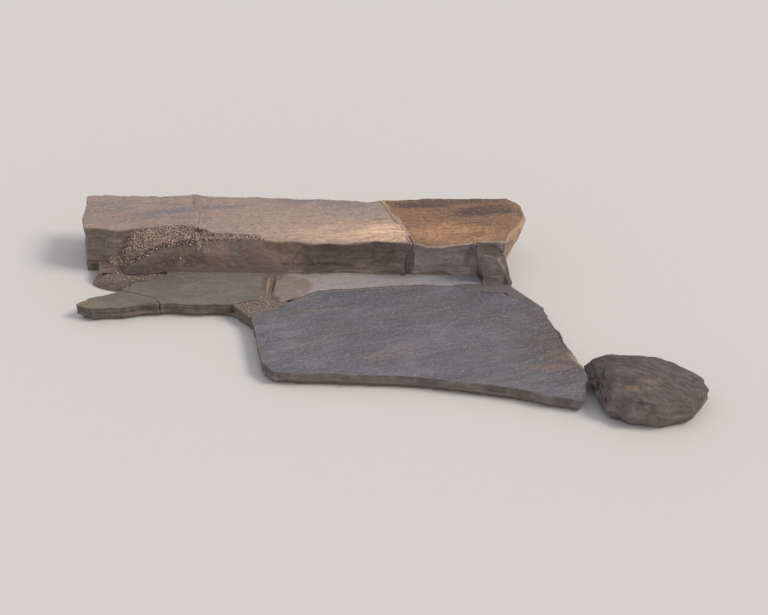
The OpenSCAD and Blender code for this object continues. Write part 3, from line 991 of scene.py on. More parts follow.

# Weathered fieldstone: brown grey with a fine slanting grain; its dark top colour is partly painted shade,
# which covers the corner stone's whole top
DARK_FIELDSTONE = StoneFinish(
    name="weathered_fieldstone", ground="#4c413b", side_ground="#957f73", worn="#7d6d63",
    soil="#594c44", grain_deg=20.0,
    veils=(Veil("#5c4f47", (120, 60, 60), 0.45, 0.10, 0.6, 0.4, 5.0),
           Veil("#7c6c61", (60, 20, 30), 0.3, 0.06, 0.5, 1.4, 5.0)),
    side_veils=(
        # The corner stone is greyer than the rock
        Veil("#978a85", (150, 120, 60), 1.0, 0.12, 0.95, 2.9, 4.0,
             zone=Zone((0.48, 0.28, 0.1), (0.16, 0.16, 0.2), fade=0.3, ragged=0.1)),
        # Darker in the rock's middle and towards its buried left end
        Veil("#73604f", (150, 120, 60), 0.85, 0.12, 0.8, 2.4, 6.0,
             zone=Zone((-0.76, 0.3, 0.12), (0.15, 0.2, 0.09), (0, 20, 0), 0.8)),
        Veil("#6f6057", (150, 120, 60), 0.85, 0.12, 0.85, 0.4, 6.0,
             zone=Zone((-0.95, 0.3, 0.1), (0.26, 0.2, 0.14), fade=0.8)),
        Veil("#7d6e65", (140, 120, 60), 0.45, 0.10, 0.6, 0.9, 6.0, warp=0.4),
        Veil("#a3948a", (80, 16, 14), 0.28, 0.06, 0.3, 1.4, 5.0),
        # Painted shade: the corner stone's outer side is darkened as dull as its shaded face. A thin tan vein
        # runs down its edge
        Veil("#5f5550", (150, 120, 60), 1.0, 0.12, 0.95, 2.9, 4.0,
             zone=Zone((0.60, 0.3, 0.1), (0.085, 0.2, 0.2), fade=0.3, ragged=0.1)),
        Veil("#b5977c", (30, 30, 20), 0.8, 0.08, 0.75, 3.4, 4.0,
             zone=Zone((0.4405, 0.25, 0.09), (0.004, 0.1, 0.05), (0, -22, 0), 0.5, 0.3)),
        Veil("#62564f", (9, 8, 8), 0.2, 0.05, 0.5, 3.1, 2.0)),
    grit=(Grit((30, 14, 12), 1.6, 6.0), Grit((10, 9, 9), 0.8, 3.0)),
)

# Slaty flagstone, split along its foliation: blue grey with rust streaks that run with the grain. Its top is
# coloured darker and bluer, as in open shade, partly painted shade
BLUE_FLAGSTONE = StoneFinish(
    name="cleft_blue_grey_flagstone", ground="#6d6b71", side_ground="#7a736d", worn="#8e8b8e",
    soil="#605955", grain_deg=17.0,
    veils=(
        # Browner towards its right tip
        Veil("#655b57", (200, 90, 100), 0.9, 0.12, 0.9, 2.3, 5.0,
             zone=Zone((0.66, -0.40, 0.06), (0.2, 0.3, 0.2), (0, 0, 30), 0.8)),
        Veil("#7e7d81", (300, 110, 100), 0.45, 0.10, 0.8, 0.4, 6.0, warp=0.5),
        Veil("#636165", (260, 60, 60), 0.42, 0.09, 0.75, 1.1, 6.0, warp=0.6),
        Veil("#74695f", (240, 50, 60), 0.3, 0.08, 0.5, 7.7, 6.0, warp=0.6),
        # Browner towards the right end, and greenish patches
        Veil("#635954", (200, 120, 100), 0.9, 0.12, 0.95, 4.4, 4.0,
             zone=Zone((0.66, -0.16, 0.06), (0.22, 0.34, 0.2), fade=0.8)),
        Veil("#6b6a64", (160, 90, 100), 0.8, 0.12, 0.7, 4.9, 4.0,
             zone=Zone((0.52, -0.05, 0.06), (0.14, 0.12, 0.2), fade=0.8)),
        Veil("#706d68", (160, 60, 100), 0.8, 0.12, 0.6, 5.4, 4.0,
             zone=Zone((0.18, 0.06, 0.06), (0.18, 0.07, 0.2), (0, 0, 12), 0.8)),
        # Pale lavender mottles towards the left end
        Veil("#858289", (120, 30, 60), 0.5, 0.08, 0.6, 2.6, 5.0,
             zone=Zone((-0.44, -0.16, 0.06), (0.14, 0.26, 0.2), fade=0.7), warp=0.4),
        Veil("#7f7d83", (150, 14, 60), 0.34, 0.07, 0.4, 2.2, 5.0, warp=0.5),
        Veil("#5e5c60", (130, 12, 60), 0.3, 0.07, 0.35, 3.2, 5.0, warp=0.5),
        # Rust streaks
        rust_streaks(75, 0.46, 0.72, 3.1, (-0.008, -0.25, 0.06), (0.16, 0.045), 20),
        rust_streaks(75, 0.36, 0.56, 3.6, (0.38, -0.195, 0.06), (0.15, 0.05), 20, fade=0.7),
        Veil("#927661", (46, 12, 60), 0.62, 0.10, 0.7, 3.9, 6.0,
             zone=Zone((0.64, -0.353, 0.06), (0.12, 0.03, 0.1), (0, 0, 4), 0.6)),
        Veil("#8a7462", (70, 14, 60), 0.5, 0.08, 0.6, 4.3, 6.0,
             zone=Zone((0.68, -0.27, 0.06), (0.09, 0.06, 0.1), (0, 0, 12), 0.7)),
        rust_streaks(60, 0.44, 0.60, 4.7, (-0.23, 0.06, 0.06), (0.14, 0.02), 8),
        rust_streaks(60, 0.44, 0.48, 5.7, (-0.41, -0.11, 0.06), (0.09, 0.016), 4),
        rust_streaks(60, 0.44, 0.64, 6.7, (0.41, -0.016, 0.06), (0.11, 0.01), 13),
        # A thin forked cleft
        cleft("#4f4b4a", 0.7, 1.2, (0.56, -0.085, 0.06), (0.05, 0.0035), 3),
        cleft("#4f4b4a", 0.6, 1.9, (0.505, -0.065, 0.06), (0.03, 0.0035), -50),
        # Painted sunlight in a rusty tan on the near right rim, where it broke off
        Veil("#b39170", (60, 60, 60), 0.9, 0.1, 0.85, 2.4,
             zone=Zone((0.738, -0.315, 0.06), (0.014, 0.085, 0.05), (0, 0, 25), 0.6, 0.2)),
        Veil("#a07f61", (60, 60, 60), 0.9, 0.1, 0.8, 2.9,
             zone=Zone((0.757, -0.41, 0.06), (0.016, 0.035, 0.05), (0, 0, 0), 0.6, 0.2)),
        Veil("#58565a", (13, 8, 9), 0.26, 0.05, 0.6, 5.1, 2.0),
        Veil("#959396", (11, 7, 9), 0.24, 0.05, 0.55, 6.4, 2.0),
    ),
    side_veils=(Veil("#66605b", (180, 180, 12), 0.5, 0.07, 0.6, 0.4, 5.0, warp=0.3),
                Veil("#8f857c", (60, 60, 10), 0.3, 0.06, 0.5, 1.4, 5.0)),
    grit=(Grit((60, 14, 14), 1.6, 6.0), Grit((12, 7, 8), 0.7, 3.0)),
)

# Flagstone of fine sandstone: warm grey beige, tan at one end and greenish at the other
BEIGE_FLAGSTONE = StoneFinish(
    name="cleft_beige_flagstone", ground="#a69f9f", side_ground="#80766d", worn="#b8ada6",
    soil="#665b54", grain_deg=3.0,
    veils=(
        Veil("#aca6a5", (220, 60, 60), 0.45, 0.10, 0.7, 0.4, 5.0),
        Veil("#a1a0a5", (200, 90, 60), 0.9, 0.12, 0.85, 1.4, 5.0,
             zone=Zone((0.36, 0.27, 0.06), (0.32, 0.2, 0.1), fade=0.8)),
        Veil("#8d7d72", (160, 120, 60), 0.95, 0.08, 0.9, 2.4, 5.0,
             zone=Zone((-0.37, 0.215, 0.06), (0.115, 0.1, 0.1), (0, 0, 30), 0.25, 0.25)),
        Veil("#b5aaa4", (60, 16, 60), 0.3, 0.06, 0.4, 2.9, 6.0, warp=0.6),
        Veil("#857b74", (60, 12, 60), 0.22, 0.05, 0.4, 3.3, 6.0, warp=0.6),
        Veil("#7d736c", (12, 9, 9), 0.22, 0.05, 0.5, 3.4, 2.0),
    ),
    side_veils=(Veil("#574e47", (180, 180, 12), 0.5, 0.07, 0.7, 0.4, 5.0),),
    grit=(Grit((34, 16, 16), 1.6, 6.0), Grit((11, 8, 8), 0.8, 3.0)),
)

# Flagstone of greenish schist, its top coloured darker as in open shade, partly painted shade
GREEN_FLAGSTONE = StoneFinish(
    name="cleft_green_grey_flagstone", ground="#80786f", side_ground="#7a7066", worn="#98907f",
    soil="#5b5047", grain_deg=5.0,
    veils=(
        Veil("#6d665d", (260, 90, 60), 0.45, 0.10, 0.7, 0.4, 5.0),
        Veil("#6e675c", (160, 120, 60), 0.8, 0.12, 0.7, 0.9, 5.0,
             zone=Zone((-0.88, 0.25, 0.06), (0.16, 0.12, 0.1), fade=0.8)),
        Veil("#7c7672", (200, 60, 60), 0.85, 0.12, 0.8, 1.4, 5.0,
             zone=Zone((-0.62, 0.13, 0.06), (0.2, 0.07, 0.1), (0, 0, 5), 0.8)),
        # The tip of the end stone is yellower
        Veil("#85785a", (120, 60, 60), 0.85, 0.12, 0.8, 1.9, 5.0,
             zone=Zone((-1.2, 0.09, 0.06), (0.1, 0.1, 0.1), fade=0.8)),
        Veil("#8f867b", (70, 18, 60), 0.3, 0.06, 0.45, 2.4, 6.0, warp=0.6),
        Veil("#645c54", (70, 14, 60), 0.22, 0.05, 0.45, 3.1, 6.0, warp=0.6),
        Veil("#5f5850", (13, 9, 9), 0.22, 0.05, 0.5, 3.4, 2.0),
    ),
    side_veils=(Veil("#50483f", (180, 180, 12), 0.5, 0.07, 0.7, 0.4, 5.0),),
    grit=(Grit((34, 16, 16), 1.6, 6.0), Grit((11, 8, 8), 0.8, 3.0)),
)

# Rounded boulder, weathered light grey with pinkish and tan spots; its top is coloured darker, as it looks in
# shade, with painted shade
GREY_BOULDER = StoneFinish(
    name="weathered_grey_boulder", ground="#5c5451", side_ground="#6a625d", worn="#8a827c",
    soil="#3f3531", grain_deg=-30.0,
    veils=(Veil("#69635f", (110, 80, 60), 0.45, 0.10, 0.7, 0.4, 4.0, warp=0.5),
           Veil("#544c4a", (80, 40, 30), 0.35, 0.08, 0.55, 1.4, 4.0, warp=0.6),
           # Tan stains on its face, and soft dark pits
           Veil("#8d745f", (44, 24, 30), 0.5, 0.07, 0.8, 2.4, 3.0,
                zone=Zone((0.96, -0.575, 0.12), (0.12, 0.05, 0.1), (0, 0, 12), 0.7)),
           Veil("#443c39", (30, 16, 20), 0.2, 0.06, 0.6, 3.4, 3.0),
           Veil("#7f7873", (12, 10, 10), 0.22, 0.05, 0.4, 4.4, 2.0)),
    side_veils=(Veil("#7d7670", (120, 60, 60), 0.45, 0.09, 0.6, 0.4, 5.0, warp=0.5),
                Veil("#4e4743", (60, 30, 30), 0.32, 0.07, 0.6, 1.4, 5.0, warp=0.6),
                # Painted shadow where it stands against the flagstone
                Veil("#35291f", (44, 40, 18), 0.5, 0.06, 0.85, 2.8, 5.0,
                     zone=Zone((0.79, -0.4, 0.1), (0.07, 0.3, 0.12), fade=0.6))),
    grit=(Grit((30, 14, 14), 1.2, 6.0), Grit((8, 7, 7), 0.5, 3.0)),
)

# The mortar's apron at the right
APRON = Zone((0.52, 0.17, 0.06), (0.27, 0.17, 0.1), fade=0.3, ragged=0.1)

# Mortar of coarse sand, struck with a trowel and washed out by rain
SANDY_MORTAR = StoneFinish(
    name="washed_sand_mortar", ground="#7d7067", side_ground="#75685f", worn="#978a7e",
    soil="#5e5249",
    veils=(Veil("#6c6057", (90, 90, 60), 0.45, 0.10, 0.7, 0.4, 5.0),
           # Rubbed with the dust of the grey stones along their thin joint
           Veil("#7a7472", (90, 90, 60), 1.0, 0.10, 0.9, 0.9, 4.0,
                zone=Zone((0.08, 0.19, 0.06), (0.46, 0.1, 0.1), (0, 0, 6), 0.4, 0.2)),
           Veil("#98897a", (11, 11, 10), 0.26, 0.06, 0.5, 1.4, 2.0),
           Veil("#574d45", (12, 12, 10), 0.24, 0.06, 0.5, 2.4, 2.0),
           # The apron is floated smooth and as grey as the flagstone
           Veil("#726d6b", (120, 60, 60), 1.0, 0.10, 0.95, 1.9, 4.0, zone=APRON),
           Veil("#625e5d", (90, 40, 60), 0.4, 0.08, 0.7, 2.9, 5.0, zone=APRON),
           # Painted sunlight in cream along the wide joint's left side, and painted shade under the strip at
           # its right
           Veil("#b0967c", (30, 20, 20), 0.8, 0.08, 0.8, 3.3, 4.0,
                zone=Zone((-0.4515, 0.235, 0.06), (0.008, 0.08, 0.1), (0, 0, -10), 0.6, 0.3)),
           Veil("#42372f", (30, 20, 20), 1.0, 0.08, 0.85, 3.8, 4.0,
                zone=Zone((-0.4275, 0.235, 0.06), (0.007, 0.09, 0.1), (0, 0, -12), 0.6, 0.3))),
    side_veils=(Veil("#574c43", (60, 60, 30), 0.45, 0.09, 0.7, 0.4, 5.0),
                Veil("#8c7c69", (8, 8, 8), 0.3, 0.05, 0.6, 1.4, 2.0)),
    grit=(Grit((16, 16, 16), 1.6, 5.0), Grit((7, 7, 7), 0.8, 3.0)),
    roughness=0.9,
)

# Mortar rubbed with cream stone dust, in the slabs' joints
CREAM_MORTAR = StoneFinish(
    name="rubbed_cream_mortar", ground="#b89a85", side_ground="#766a65", worn="#c7ab92",
    soil="#84705f", worn_strength=0.3,
    veils=(Veil("#9b8270", (60, 60, 60), 0.45, 0.10, 0.6, 0.4, 5.0),
           Veil("#d3b69b", (9, 9, 8), 0.3, 0.05, 0.5, 1.4, 2.0),
           # Duller in the left joint, and painted shadow along the right joint's front end
           Veil("#948179", (200, 200, 100), 1.0, 0.1, 0.95, 0.9, 4.0,
                zone=Zone((-0.75, 0.52, 0.22), (0.2, 0.4, 0.2), fade=0.3)),
           Veil("#3f342d", (90, 90, 60), 1.0, 0.10, 0.95, 0.9, 4.0,
                zone=Zone((0.1415, 0.34, 0.22), (0.006, 0.045, 0.1), (0, 0, 9), 0.4, 0.1))),
    side_veils=(Veil("#655a55", (60, 60, 30), 0.45, 0.09, 0.8, 0.4, 5.0),),
    grit=(Grit((16, 16, 16), 1.2, 5.0), Grit((7, 7, 7), 0.6, 3.0)),
    roughness=0.9,
)

# Crushed granite, tan with dark and pale grains
CRUSHED_STONE = GrainFinish(
    name="crushed_tan_stone",
    tones=((0.0, "#66574f"), (0.3, "#978378"), (0.55, "#b3998a"), (0.8, "#ccb09e"), (1.0, "#e6d0c1")),
)


@dataclass
class Mortar:
    """One mass of mortar: fine where its joints show, and coarse below."""

    node: str
    joints_above_mm: float = 0.0
    joint_voxel_mm: float | None = None
    bed_voxel_mm: float | None = 9.0
    lift_mm: float = 2.0
    swell_mm: float = 2.5
    swell_rise_mm: float = 12.0
    wash_mm: float = 1.0
    wash_span_mm: Size = (60.0, 60.0, 60.0)
    sand_span_mm: Size = (9.0, 9.0, 9.0)
    margin_mm: float = 20.0
    finish: StoneFinish = SANDY_MORTAR
    shaping: Shaping | None = None
    seed: int = 21

    def build(self) -> bpy.types.Object:
        """Splits the mass at the foot of its joints, makes both parts sandy and joins them again.

        Returns:
            The finished mortar.
        """
        parts = [self.part(joints, voxel_mm) for joints, voxel_mm in
                 ((True, self.joint_voxel_mm), (False, self.bed_voxel_mm)) if voxel_mm is not None]
        piece = parts[0]
        select_only(piece)
        for part in parts[1:]:
            part.select_set(True)
            bpy.ops.object.join()
        piece.name = f"{self.node}_mortar"
        dress(piece, self.finish.material(), Slot.MORTAR, self.node)
        return piece

    def part(self, joints: bool, voxel_mm: float) -> bpy.types.Object:
        """The joints or the bed, remeshed and roughened.

        Args:
            joints: Whether to make the joints.
            voxel_mm: Fineness of the mesh.

        Returns:
            The part.
        """
        part = copy_solid(self.node, f"{self.node}_{'joints' if joints else 'bed'}")
        if self.shaping:
            move_points(part, self.shaping(points_of(part)))
        if self.joint_voxel_mm and self.bed_voxel_mm:
            self.keep(part, joints)
        apply(part, "REMESH", {"mode": "VOXEL", "voxel_size": voxel_mm * MM})
        apply(part, "SMOOTH", {"factor": 0.5, "iterations": 1})
        self.roughen(part, joints)
        return part

    def keep(self, part: bpy.types.Object, joints: bool) -> None:
        """Cuts away what lies below the foot of the joints, or what lies above it.

        Args:
            part: The whole mass.
            joints: Whether the joints stay, in place of the bed.
        """
        low, high = (Vector(corner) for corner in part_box(self.node))
        foot = self.joints_above_mm * MM
        margin = self.margin_mm * MM
        low.z, high.z = (foot, high.z + margin) if joints else (low.z - margin, foot)
        reach = high - low + Vector((2 * margin, 2 * margin, 0.0))
        bpy.ops.object.select_all(action="DESELECT")
        bpy.ops.mesh.primitive_cube_add(size=1.0, location=(low + high) / 2, scale=reach)
        block = bpy.context.active_object
        apply(part, "BOOLEAN", {"operation": "INTERSECT", "object": block, "solver": "EXACT"})
        bpy.data.objects.remove(block)

    def roughen(self, part: bpy.types.Object, joints: bool) -> None:
        """Makes the mortar sandy, fills its joints up to the stones and leaves its traces.

        Args:
            part: The joints or the bed.
            joints: Whether it is the joints.
        """
        points = points_of(part)
        normals = normals_of(part)
        upper = smooth_step(normals[:, 2], *UPWARD)
        depth = (self.wash_mm * (1 - waves(points, self.wash_span_mm, self.seed, 3))
                 + self.wash_mm / 2 * (1 - waves(points, self.sand_span_mm, self.seed + 1, 3)))
        if joints:
            foot = self.joints_above_mm * MM
            share = smooth_step(points[:, 2], foot, foot + self.swell_rise_mm * MM)
            points[:, :2] += normals[:, :2] * (share * self.swell_mm * MM)[:, None]
            points[:, 2] += share * (self.lift_mm - upper * depth) * MM
        else:
            points -= normals * (depth * MM)[:, None]
        move_points(part, points)
        near = standing_out(part, *SAND_RELIEF)
        leave_traces(part, {Trace.UPPER: upper, Trace.WORN: near * (0.2 + 0.8 * upper), Trace.RECESS: -near})


@dataclass
class Gravel:
    """Crushed stone that lies on a bed."""

    name: str
    count: int
    grain_mm: Span = (4.0, 10.0)
    seed: int = 31
    scatter_mm: float = 1.5
    proud: Span = (0.05, 0.3)
    tone: Span = (0.5, 0.22)
    angular: Span = (0.75, 1.15)
    flat: Size = (0.8, 0.6, 0.5)

    def build(self, spots: Points) -> bpy.types.Object:
        """Scatters the grains and joins them.

        Args:
            spots: Places that grains may lie on, one row each.

        Returns:
            One piece with every grain.
        """
        dice = np.random.default_rng(self.seed)
        bpy.ops.object.select_all(action="DESELECT")
        bpy.ops.mesh.primitive_ico_sphere_add(subdivisions=1, radius=0.5)
        grains = bpy.context.active_object
        grains.name = self.name
        corners = points_of(grains)
        apply(grains, "ARRAY", {"count": self.count, "use_relative_offset": False})
        middles = spots[dice.choice(len(spots), self.count)]
        middles = middles + dice.normal(0.0, self.scatter_mm * MM, (self.count, 3))
        sizes = dice.uniform(*self.grain_mm, self.count) * MM
        middles[:, 2] += sizes * dice.uniform(*self.proud, self.count)
        rows = [self.crushed(corners, size, dice) + middle for size, middle in zip(sizes, middles)]
        move_points(grains, np.concatenate(rows))
        tones = dice.normal(*self.tone, self.count)
        leave_traces(grains, {Trace.TONE: np.repeat(tones, len(corners))})
        return grains

    def crushed(self, corners: Points, size: float, dice: np.random.Generator) -> Points:
        """One angular grain, flattened, turned and scaled.

        Args:
            corners: Corners of a small ball.
            size: The grain's size.
            dice: Source of chance.

        Returns:
            The grain's corners, round its middle.
        """
        shape = corners * dice.uniform(*self.angular, (len(corners), 1)) * dice.uniform(self.flat, 1.0)
        axis = Vector(dice.normal(size=3).tolist()).normalized()
        turn = np.array(Matrix.Rotation(dice.uniform(0.0, math.tau), 3, axis))
        return shape @ turn.T * size


@dataclass
class Bank:
    """A bank of gravel, as a closed mesh over a level foot."""

    name: str
    low: Span
    high: Span
    foot: float
    rounded: bool = False
    cell: float = 0.004
    raised: float = 0.05
    least: float = 0.001
    rough_mm: Span = (2.5, 1.0)
    rough_span_mm: Span = (60.0, 12.0)
    seed: int = 41

    def build(self, heights: Shaping) -> bpy.types.Object:
        """Raises a grid to the given heights and closes it down to its foot.

        Args:
            heights: Gives the height at each point.

        Returns:
            The bank, with no material.
        """
        bank = self.block()
        points = points_of(bank)
        top = points[:, 2] > self.foot + self.raised / 2
        if self.rounded:
            middle = np.add(self.high, self.low) / 2
            reach = np.subtract(self.high, self.low) / 2
            place = (points[:, :2] - middle) / reach
            points[:, :2] = middle + place * np.sqrt(1 - place[:, ::-1]**2 / 2) * reach
        coarse, fine = self.rough_span_mm
        rough = (self.rough_mm[0] * waves(points, (coarse, coarse, coarse), self.seed, 3)
                 + self.rough_mm[1] * waves(points, (fine, fine, fine), self.seed + 1, 2))
        points[top, 2] = np.maximum(heights(points[top]) + rough[top] * MM, self.foot + self.least)
        move_points(bank, points)
        near = standing_out(bank, *SAND_RELIEF)
        leave_traces(bank, {Trace.UPPER: top.astype(float), Trace.WORN: near * top, Trace.RECESS: -near})
        return bank

    def block(self) -> bpy.types.Object:
        """A box over the foot, whose top and underside are fine grids."""
        reach = np.subtract(self.high, self.low)
        bpy.ops.object.select_all(action="DESELECT")
        bpy.ops.mesh.primitive_grid_add(
            x_subdivisions=round(reach[0] / self.cell), y_subdivisions=round(reach[1] / self.cell),
            size=1.0, location=(*(np.add(self.high, self.low) / 2), self.foot))
        bank = bpy.context.active_object
        bank.name = self.name
        bank.scale = (*reach, 1.0)
        bpy.ops.object.transform_apply(location=True, rotation=True, scale=True)
        bpy.ops.object.mode_set(mode="EDIT")
        bpy.ops.mesh.select_all(action="SELECT")
        bpy.ops.mesh.extrude_region_move(TRANSFORM_OT_translate={"value": (0.0, 0.0, self.raised)})
        bpy.ops.mesh.select_all(action="SELECT")
        bpy.ops.mesh.normals_make_consistent(inside=False)
        bpy.ops.object.mode_set(mode="OBJECT")
        return bank


# The shaping functions below take a stone's points, one row each, and give them back moved. Where a field goes
# into smooth_step, its two numbers say where the rise begins and where it ends.


@dataclass
class UpperTread:
    """Three thick slabs whose own broken faces are the riser, on their bed."""

    joint_ends: Span = (0.40, 0.60)
    reach_out: Span = (0.027, 0.034)
    back_aside: float = 0.15
    left_deep: float = 0.07
    left_reach: float = 0.034
    tip_from: float = 0.345
    tip_aside: float = 0.005
    tip_wide: float = 0.6
    corner_x: Span = (-0.46, -0.40)
    corner_back: float = 0.006
    foot_x: Span = (0.28, 0.38)
    foot_y: Span = (0.36, 0.41)
    foot_z: Span = (0.08, 0.18)
    foot_reach: Span = (0.012, 0.022)
    end_x: Span = (0.50, 0.60)
    end_near: Span = (0.36, 0.56)
    end_far: Span = (0.63, 0.72)
    end_belly: Span = (0.06, 0.16)
    end_brow: Span = (0.19, 0.225)
    end_swell: Span = (0.052, 0.022)

    def build(self) -> None:
        """Builds the slabs, the mortar in their joints and the bed."""
        face = {"wander_mm": 6.0, "foot_mm": 45.0}
        Stone("left_upper_slab", Slot.PALE_QUARTZITE, PALE_QUARTZITE, Cleaving(11, 8.0, **face)).build()
        Stone("middle_upper_slab", Slot.PALE_QUARTZITE, PALE_QUARTZITE,
              Cleaving(12, 8.0, ledge_mm=0.5, **face), shaping=self.hold_back).build()
        Stone("right_upper_slab", Slot.BROWN_QUARTZITE, BROWN_QUARTZITE,
              Cleaving(13, 6.0, break_mm=2.5, break_span_mm=120.0, ledge_mm=0.3, scar_mm=0.5,
                       rough_mm=1.0, **face), shaping=self.swell_end).build()
        Mortar("upper_slab_joints", joints_above_mm=60.0, joint_voxel_mm=2.6, bed_voxel_mm=None,
               lift_mm=5.0, swell_mm=4.5, finish=CREAM_MORTAR, shaping=self.fill_out).build()
        Mortar("upper_bed").build()

    def fill_out(self, points: Points) -> Points:
        """Brings the joints' ends out to the riser's face and to the far edge.

        The near end of the right joint also grows wider towards its tip, and its far end leans left.

        Args:
            points: Places, one row each.

        Returns:
            The moved places.
        """
        near, far = self.reach_out
        right = points[:, 0] > 0.0
        front = (points[:, 1] < self.joint_ends[0]) & right
        back = points[:, 1] > self.joint_ends[1]
        left_front = (points[:, 1] < self.joint_ends[0] + self.left_deep) & ~right
        points[:, 1] += far * back - near * front - self.left_reach * left_front
        points[:, 0] -= self.back_aside * far * (back & right)
        tip = front & (points[:, 1] < self.tip_from)
        points[tip, 0] += self.tip_aside + self.tip_wide * (points[tip, 0] - points[tip, 0].mean())
        return points

    def hold_back(self, points: Points) -> Points:
        """Takes the middle slab's left corner back, so that the rock runs on past it."""
        corner = 1 - smooth_step(points[:, 0], *self.corner_x)
        points[:, 1] += self.corner_back * corner * (1 - smooth_step(points[:, 1], *self.foot_y))
        return points

    def swell_end(self, points: Points) -> Points:
        """Swells the right slab's broken end below its worn edge, and brings its face's foot out.

        Args:
            points: Places, one row each.

        Returns:
            The moved places.
        """
        face = smooth_step(points[:, 0], *self.foot_x) * (1 - smooth_step(points[:, 1], *self.foot_y))
        foot = 1 - smooth_step(points[:, 2], *self.foot_z)
        points[:, 1] -= face * (self.foot_reach[0] + self.foot_reach[1] * foot)
        end = smooth_step(points[:, 0], *self.end_x)
        deep = smooth_step(points[:, 1], *self.end_near) * (1 - smooth_step(points[:, 1], *self.end_far))
        belly = smooth_step(points[:, 2], *self.end_belly)
        brow = smooth_step(points[:, 2], *self.end_brow)
        points[:, 0] += end * deep * (self.end_swell[0] * belly - self.end_swell[1] * brow)
        return points


@dataclass
class RiserEnds:
    """The low rock with its pocket of gravel, and the corner stone."""

    grains: int = 3300
    spilt: int = 200
    foot_grains: int = 420
    spill_low: float = 0.012
    spill_right: float = -0.62
    spill_level: float = 0.6
    rock_end: Span = (-0.56, -0.505)
    rock_stretch: float = 0.095
    rock_toe: float = 0.07
    rock_toe_z: Span = (0.07, 0.19)
    rock_ahead: Span = (0.35, 0.39)
    rock_bulge: float = 0.006
    rock_swell: Span = (-0.58, -0.50)
    rock_dive_x: Span = (-0.468, -0.418)
    rock_dive: float = 0.032
    rock_front: float = 0.317
    rock_deep: float = 0.088
    rock_crown: Span = (0.11, 0.221)
    rock_lean: float = 0.030
    rock_round: float = 0.014
    rock_level: Span = (-0.66, -0.52)
    corner_top: float = 0.219
    corner_side: Span = (0.46, 0.53)
    corner_stretch: float = 0.026
    corner_slope: Span = (0.43, 0.55)
    corner_drop: float = 0.042
    corner_shoulder: Span = (0.16, 0.22)
    corner_back: Span = (0.30, 0.336)
    corner_reach: float = 0.030
    crest_step: float = 0.012
    crest_cover: float = 0.001
    bank: tuple[Span, Span] = ((-1.14, 0.342), (-0.475, 0.465))
    bank_foot: float = 0.053
    bank_end_top: float = 0.055
    bank_top: float = 0.211
    bank_rise: float = 0.085
    bank_deep: float = 0.008
    bank_fall: float = 0.12
    bank_end: Span = (1.0, 1.06)
    bank_tail: Span = (1.02, 1.13)
    face_steps: int = 83
    face_level: float = 0.16
    soil: tuple[Span, Span] = ((-1.165, 0.272), (-0.80, 0.42))
    soil_top: float = 0.06
    spots_level: float = 0.3
    spots_above: float = 0.015
    spots_behind: float = 0.002

    def build(self) -> None:
        """Builds the rock, the corner stone and the gravel."""
        rock = Stone("low_riser_rock", Slot.DARK_FIELDSTONE, DARK_FIELDSTONE,
                     Cleaving(14, 20.0, layer_mm=0.3, break_mm=5.0, break_span_mm=140.0, ledge_mm=0.3,
                              rough_mm=2.4, scar_mm=1.0, wander_mm=3.0, chip_mm=2.0, close_share=0.0),
                     voxel_mm=3.5, rounding=10, shaping=self.close_up).build()
        Stone("corner_stone", Slot.DARK_FIELDSTONE, DARK_FIELDSTONE,
              Cleaving(15, 20.0, break_mm=4.0, ledge_mm=0.4, wander_mm=2.0, chip_mm=3.0),
              voxel_mm=3.0, rounding=4, shaping=self.widen).build()
        self.build_gravel(rock)

    def close_up(self, points: Points) -> Points:
        """Runs the rock's right end into the middle slab's face, and rounds its face back to its crown.

        Args:
            points: Places, one row each.

        Returns:
            The moved places.
        """
        toe = self.rock_toe * (1 - smooth_step(points[:, 2], *self.rock_toe_z))
        points[:, 0] += (self.rock_stretch + toe) * smooth_step(points[:, 0], *self.rock_end)
        ahead = 1 - smooth_step(points[:, 1], *self.rock_ahead)
        points[:, 1] -= self.rock_bulge * ahead * smooth_step(points[:, 0], *self.rock_swell)
        points[:, 1] += self.rock_dive * ahead * smooth_step(points[:, 0] - toe, *self.rock_dive_x)
        face = np.clip(1.0 - (points[:, 1] - self.rock_front) / self.rock_deep, 0.0, 1.0)
        high = smooth_step(points[:, 2], *self.rock_crown)
        back = face * high * high * (1 - smooth_step(points[:, 0], *self.rock_level))
        points[:, 1] += self.rock_lean * back
        points[:, 2] -= self.rock_round * back
        return points

    def widen(self, points: Points) -> Points:
        """Slopes the corner stone's top, and brings its right side and its back out to the right slab.

        Args:
            points: Places, one row each.

        Returns:
            The moved places.
        """
        low = 1.0 - smooth_step(points[:, 2], *self.corner_shoulder)
        slope = smooth_step(points[:, 0], *self.corner_slope)
        points[:, 2] -= self.corner_drop * slope * (points[:, 2] / self.corner_top)
        points[:, 0] += self.corner_stretch * smooth_step(points[:, 0], *self.corner_side) * low
        points[:, 1] += self.corner_reach * smooth_step(points[:, 1], *self.corner_back)
        return points

    def build_gravel(self, rock: bpy.types.Object) -> None:
        """Banks the gravel up against the slabs and in front of the rock's left foot, and spills some.

        Args:
            rock: The finished rock, on whose back some grains lie.
        """
        crest = self.crest(rock)
        wall = self.slab_faces()
        pocket = Bank("gravel_pocket_bed", *self.bank, self.bank_foot).build(
            lambda points: self.pocket_heights(points, crest, wall))
        spots = self.spots_on(pocket, self.bank_foot)
        face = np.interp(spots[:, 0], wall[:, 0], wall[:, 1]) + self.spots_behind
        dress(pocket, SANDY_MORTAR.material(), Slot.GRAVEL, "gravel_pocket")
        self.strew(Gravel("gravel_pocket_grains", self.grains, seed=31), spots[spots[:, 1] < face])

        foot = Bank("rock_foot_bed", *self.soil, 0.0, rounded=True).build(self.soil_heights)
        spots = self.spots_on(foot, 0.0)
        dress(foot, SANDY_MORTAR.material(), Slot.GRAVEL)
        self.strew(Gravel("rock_foot_grains", self.foot_grains, seed=34), spots)

